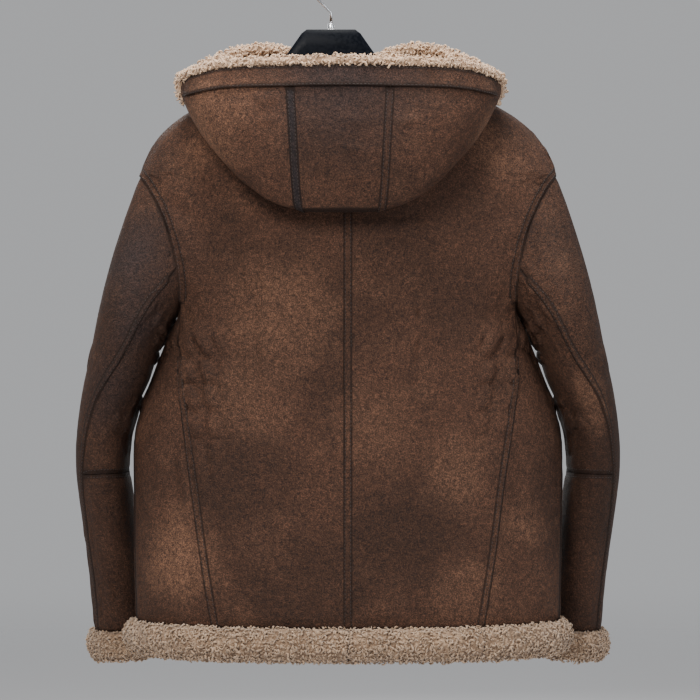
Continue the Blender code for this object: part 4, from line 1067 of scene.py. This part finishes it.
def floor_material():
    material, tree, shader = new_material("floor_pale")
    shader.inputs["Base Color"].default_value = (0.60, 0.60, 0.61, 1.0)
    shader.inputs["Roughness"].default_value = 0.85
    where = node(tree, "ShaderNodeTexCoord").outputs["Object"]
    distance = node(tree, "ShaderNodeVectorMath", operation="LENGTH")
    tree.links.new(where, distance.inputs[0])
    tree.links.new(span(tree, distance.outputs["Value"], *FLOOR_FADE, 1.0, 0.0), shader.inputs["Alpha"])
    return material


# ---------------------------------------------------------------- properties
def colour_property(name, description, default):
    return bpy.props.FloatVectorProperty(name=name, description=description, default=default, size=3,
                                         subtype="COLOR", min=0.0, max=1.0)


class JacketLook(bpy.types.PropertyGroup):
    """Colours of the leather and the wool."""
    dark: colour_property("Dark patches", "Leather where the dye is thickest", (0.0150, 0.0080, 0.0056))
    mid: colour_property("Leather", "Main colour of the leather", (0.0560, 0.0272, 0.0170))
    tan: colour_property("Rubbed leather", "Leather where the dye is rubbed away", (0.1080, 0.0560, 0.0345))
    # dusk also lays painted shade on the left sleeve and in the underarm gap
    dusk: colour_property("Dusky patches", "Leather with a bluish cast", (0.0190, 0.0140, 0.0145))
    wool: colour_property("Wool", "Tips of the wool", (0.445, 0.300, 0.190))
    # the deep wool colour also stands for painted shade in the hollows between the curls
    wool_deep: colour_property("Deep wool", "Wool between the curls", (0.150, 0.088, 0.050))


def look():
    return bpy.context.scene.jacket_look


def leather_set():
    """The leather, sleeve leather painted darker as painted shade, strip leather and lining materials, made
    once.
    """
    wanted = ("body_hide", "shaded_sleeve_hide", "strip_hide", "dusky_strip_hide", "lining_wool", "curly_wool",
              "painted_light_curly_wool")
    if all(name in bpy.data.materials for name in wanted):
        return [bpy.data.materials[name] for name in wanted]
    dark, mid, tan = tuple(look().dark), tuple(look().mid), tuple(look().tan)
    dusk, wool, deep = tuple(look().dusk), tuple(look().wool), tuple(look().wool_deep)
    # the dark tint lays stains and painted shadow under the hood's edges, straw lays pale leather and painted
    # highlights on the shoulders and hood, dusk lays painted shade on the left sleeve and in the underarm gap
    tints = {"dark": tuple(0.6 * a + 0.4 * b for a, b in zip(dark, mid)), "tan": tan, "dusk": dusk,
             "straw": tuple(1.3 * c for c in tan)}
    blots_and_painted_light = [(place, radius, share, tints[tint]) for place, radius, share, tint in STAINS_AND_PAINTED_LIGHT]
    # the leather's mid colour painted darker, as painted shade for the sleeves
    shaded_mid = tuple(0.78 * c for c in mid)
    return [
        leather_material("body_hide", dark, mid, tan, blots_and_painted_light),
        # the sleeve leather: the same leather painted darker with a duller tan, as painted shade on the
        # sleeves
        leather_material("shaded_sleeve_hide", dark, shaded_mid, tuple(0.75 * c for c in tan), blots_and_painted_light),
        leather_material("strip_hide", dark, tuple(0.92 * c for c in mid), tan, blots_and_painted_light, STRIP_LINE),
        leather_material("dusky_strip_hide", dark, dusk, tuple(1.5 * c for c in dusk), (), STRIP_LINE),
        wool_material("lining_wool", wool, deep, False),
        wool_material("curly_wool", wool, deep),
        # the wool painted 1.5 times lighter, as painted light from above on the hood
        wool_material("painted_light_curly_wool", tuple(1.5 * c for c in wool), tuple(1.5 * c for c in deep)),
    ]


# ---------------------------------------------------------------- operators
class JACKET_OT_body(bpy.types.Operator):
    """Back, side and front panels of the body"""
    bl_idname = "jacket.body"
    bl_label = "Body panels"

    def execute(self, context):
        leather, _, _, _, lining, _, _ = leather_set()
        NEIGHBOURS.append(neighbours())
        for name in ("back", "side", "front"):
            for hand in ("left", "right"):
                leather_panel(f"{name}_{hand}", f"leather_{name}_{hand}", [leather, lining])
        return {"FINISHED"}


class JACKET_OT_sleeves(bpy.types.Operator):
    """Upper and under sleeves"""
    bl_idname = "jacket.sleeves"
    bl_label = "Sleeves"

    def execute(self, context):
        _, sleeve, _, _, lining, _, _ = leather_set()
        # the sleeves take the leather painted darker, as painted shade
        for name in SLEEVE_PANELS:
            for hand in ("left", "right"):
                leather_panel(f"{name}_{hand}", f"leather_{name}_{hand}", [sleeve, lining])
        return {"FINISHED"}


class JACKET_OT_hood(bpy.types.Operator):
    """Hood panels"""
    bl_idname = "jacket.hood"
    bl_label = "Hood"

    def execute(self, context):
        leather, _, _, _, lining, _, pale = leather_set()
        for name in ("hood_centre", "hood_side_left", "hood_side_right"):
            panel = leather_panel(name, "leather_" + name, [leather, lining])
            # the hood's lining locks take the wool painted lighter, as painted light from above
            lining_locks(panel, name + "_pile", pale)
        return {"FINISHED"}


class JACKET_OT_wool(bpy.types.Operator):
    """Wool at the hem, the cuffs and the hood's edge"""
    bl_idname = "jacket.wool"
    bl_label = "Wool edges"

    def execute(self, context):
        curly, pale = leather_set()[5:]
        names = [f"hem_wool_{part}_{hand}"
                 for part in ("back", "side", "front") for hand in ("left", "right")]
        for name in names + ["cuff_wool_left", "cuff_wool_right"]:
            wool_piece(name, "curly_" + name, curly)
        # the hood's edge takes the wool painted lighter, as painted light from above
        wool_piece("hood_wool_edge", "curly_hood_wool_edge", pale)
        return {"FINISHED"}


class JACKET_OT_trim(bpy.types.Operator):
    """Lapped strips, the hood's binding and their stitches"""
    bl_idname = "jacket.trim"
    bl_label = "Strips and stitches"

    def execute(self, context):
        body_hide, shaded_sleeve_hide, strip_hide, dusky_hide = leather_set()[:4]
        tree = outer_leather()
        for name in STRIPS:
            # strips on the sleeves take the leather painted darker, as painted shade
            hide = shaded_sleeve_hide if "sleeve" in name else dusky_hide if name == "tape_hood_left" else strip_hide
            strip(name, "lapped_" + name, [hide], tree)
        strip("hood_binding", "lapped_hood_binding", [body_hide])
        strip("front_fly", "leather_front_fly", [body_hide])
        thread = plain_material("thread", (0.020, 0.012, 0.009), 0.55, grain=0.2, scale=1500.0)
        piece("stitches", repeated(stitch_shape(), *zip(*STITCHES)), [thread])
        return {"FINISHED"}


class JACKET_OT_hanger(bpy.types.Operator):
    """Hanger, hook and buttons"""
    bl_idname = "jacket.hanger"
    bl_label = "Hanger and buttons"

    def execute(self, context):
        block = plain_material("hanger_plastic_satin", (0.0014, 0.0022, 0.0042), 0.40)
        block.node_tree.nodes["Principled BSDF"].inputs["Specular IOR Level"].default_value = 0.05
        steel = plain_material("hook_steel_bright", (0.55, 0.56, 0.58), 0.22, 1.0)
        horn = plain_material("horn_brown", (0.030, 0.015, 0.008), 0.34, scale=60.0)
        finer("hanger_block", "wide_hanger", block, 0.0022)
        finer("hook_collar", "swivel_collar", steel, 0.0006)
        finer("hook_wire", "hook", steel, 0.0)
        for number in range(1, 6):
            finer(f"button_{number}", f"horn_button_{number}", horn, 0.0007)
        return {"FINISHED"}


class JACKET_OT_stage(bpy.types.Operator):
    """Floor, lights, world and camera"""
    bl_idname = "jacket.stage"
    bl_label = "Studio"

    def execute(self, context):
        scene = context.scene
        bm = bmesh.new()
        bmesh.ops.create_grid(bm, x_segments=1, y_segments=1, size=FLOOR_FADE[1])
        mesh = bpy.data.meshes.new("floor")
        bm.to_mesh(mesh)
        bm.free()
        floor = bpy.data.objects.new("floor", mesh)
        floor.location.z = FLOOR_Z
        scene.collection.objects.link(floor)
        mesh.materials.append(floor_material())
        lights = (
            # name, place, watts, size, colour
            ("key", (0.8, 1.9, 0.9), 57.0, 1.0, (1.0, 0.96, 0.91)),
            ("fill", (-1.6, 1.5, 0.2), 20.0, 1.6, (0.95, 0.97, 1.0)),
            ("top", (0.0, 0.3, 1.4), 60.0, 1.2, (1.0, 0.99, 0.97)),
            ("front", (0.3, -2.2, 0.4), 36.0, 1.8, (1.0, 0.98, 0.96)),
        )
        for name, place, watts, size, colour in lights:
            light = bpy.data.lights.new(name, "AREA")
            light.shape = "DISK"
            light.energy, light.size, light.color = watts, size, colour
            obj = bpy.data.objects.new(name, light)
            obj.location = place
            aim = Vector((CAMERA_AT[0], 0.0, CAMERA_AT[2])) - obj.location
            obj.rotation_euler = aim.to_track_quat("-Z", "Y").to_euler()
            scene.collection.objects.link(obj)
        world = bpy.data.worlds.new("studio")
        world.use_nodes = True
        background = world.node_tree.nodes["Background"]
        background.inputs["Color"].default_value = (0.78, 0.79, 0.81, 1.0)
        background.inputs["Strength"].default_value = 0.55
        scene.world = world
        camera = bpy.data.cameras.new("camera")
        camera.lens, camera.sensor_width, camera.sensor_fit = LENS, 36.0, "HORIZONTAL"
        obj = bpy.data.objects.new("camera", camera)
        obj.location = CAMERA_AT
        obj.rotation_euler = (math.pi / 2, 0.0, math.pi)
        scene.collection.objects.link(obj)
        scene.camera = obj
        return {"FINISHED"}


STEPS = (JACKET_OT_body, JACKET_OT_sleeves, JACKET_OT_hood, JACKET_OT_wool, JACKET_OT_trim,
         JACKET_OT_hanger, JACKET_OT_stage)


class JACKET_PT_panel(bpy.types.Panel):
    """Lists the jacket's settings and steps"""
    bl_label = "Jacket"
    bl_idname = "JACKET_PT_panel"
    bl_space_type = "VIEW_3D"
    bl_region_type = "UI"
    bl_category = "Jacket"

    def draw(self, context):
        for name in ("dark", "mid", "tan", "dusk", "wool", "wool_deep"):
            self.layout.prop(context.scene.jacket_look, name)
        for step in STEPS:
            self.layout.operator(step.bl_idname)


CLASSES = (JacketLook,) + STEPS + (JACKET_PT_panel,)


def register():
    for cls in CLASSES:
        bpy.utils.register_class(cls)
    bpy.types.Scene.jacket_look = bpy.props.PointerProperty(type=JacketLook)


def unregister():
    del bpy.types.Scene.jacket_look
    for cls in reversed(CLASSES):
        bpy.utils.unregister_class(cls)


def main():
    register()
    for step in STEPS:
        group, name = step.bl_idname.split(".")
        getattr(getattr(bpy.ops, group), name)()


if __name__ == "__main__":
    main()
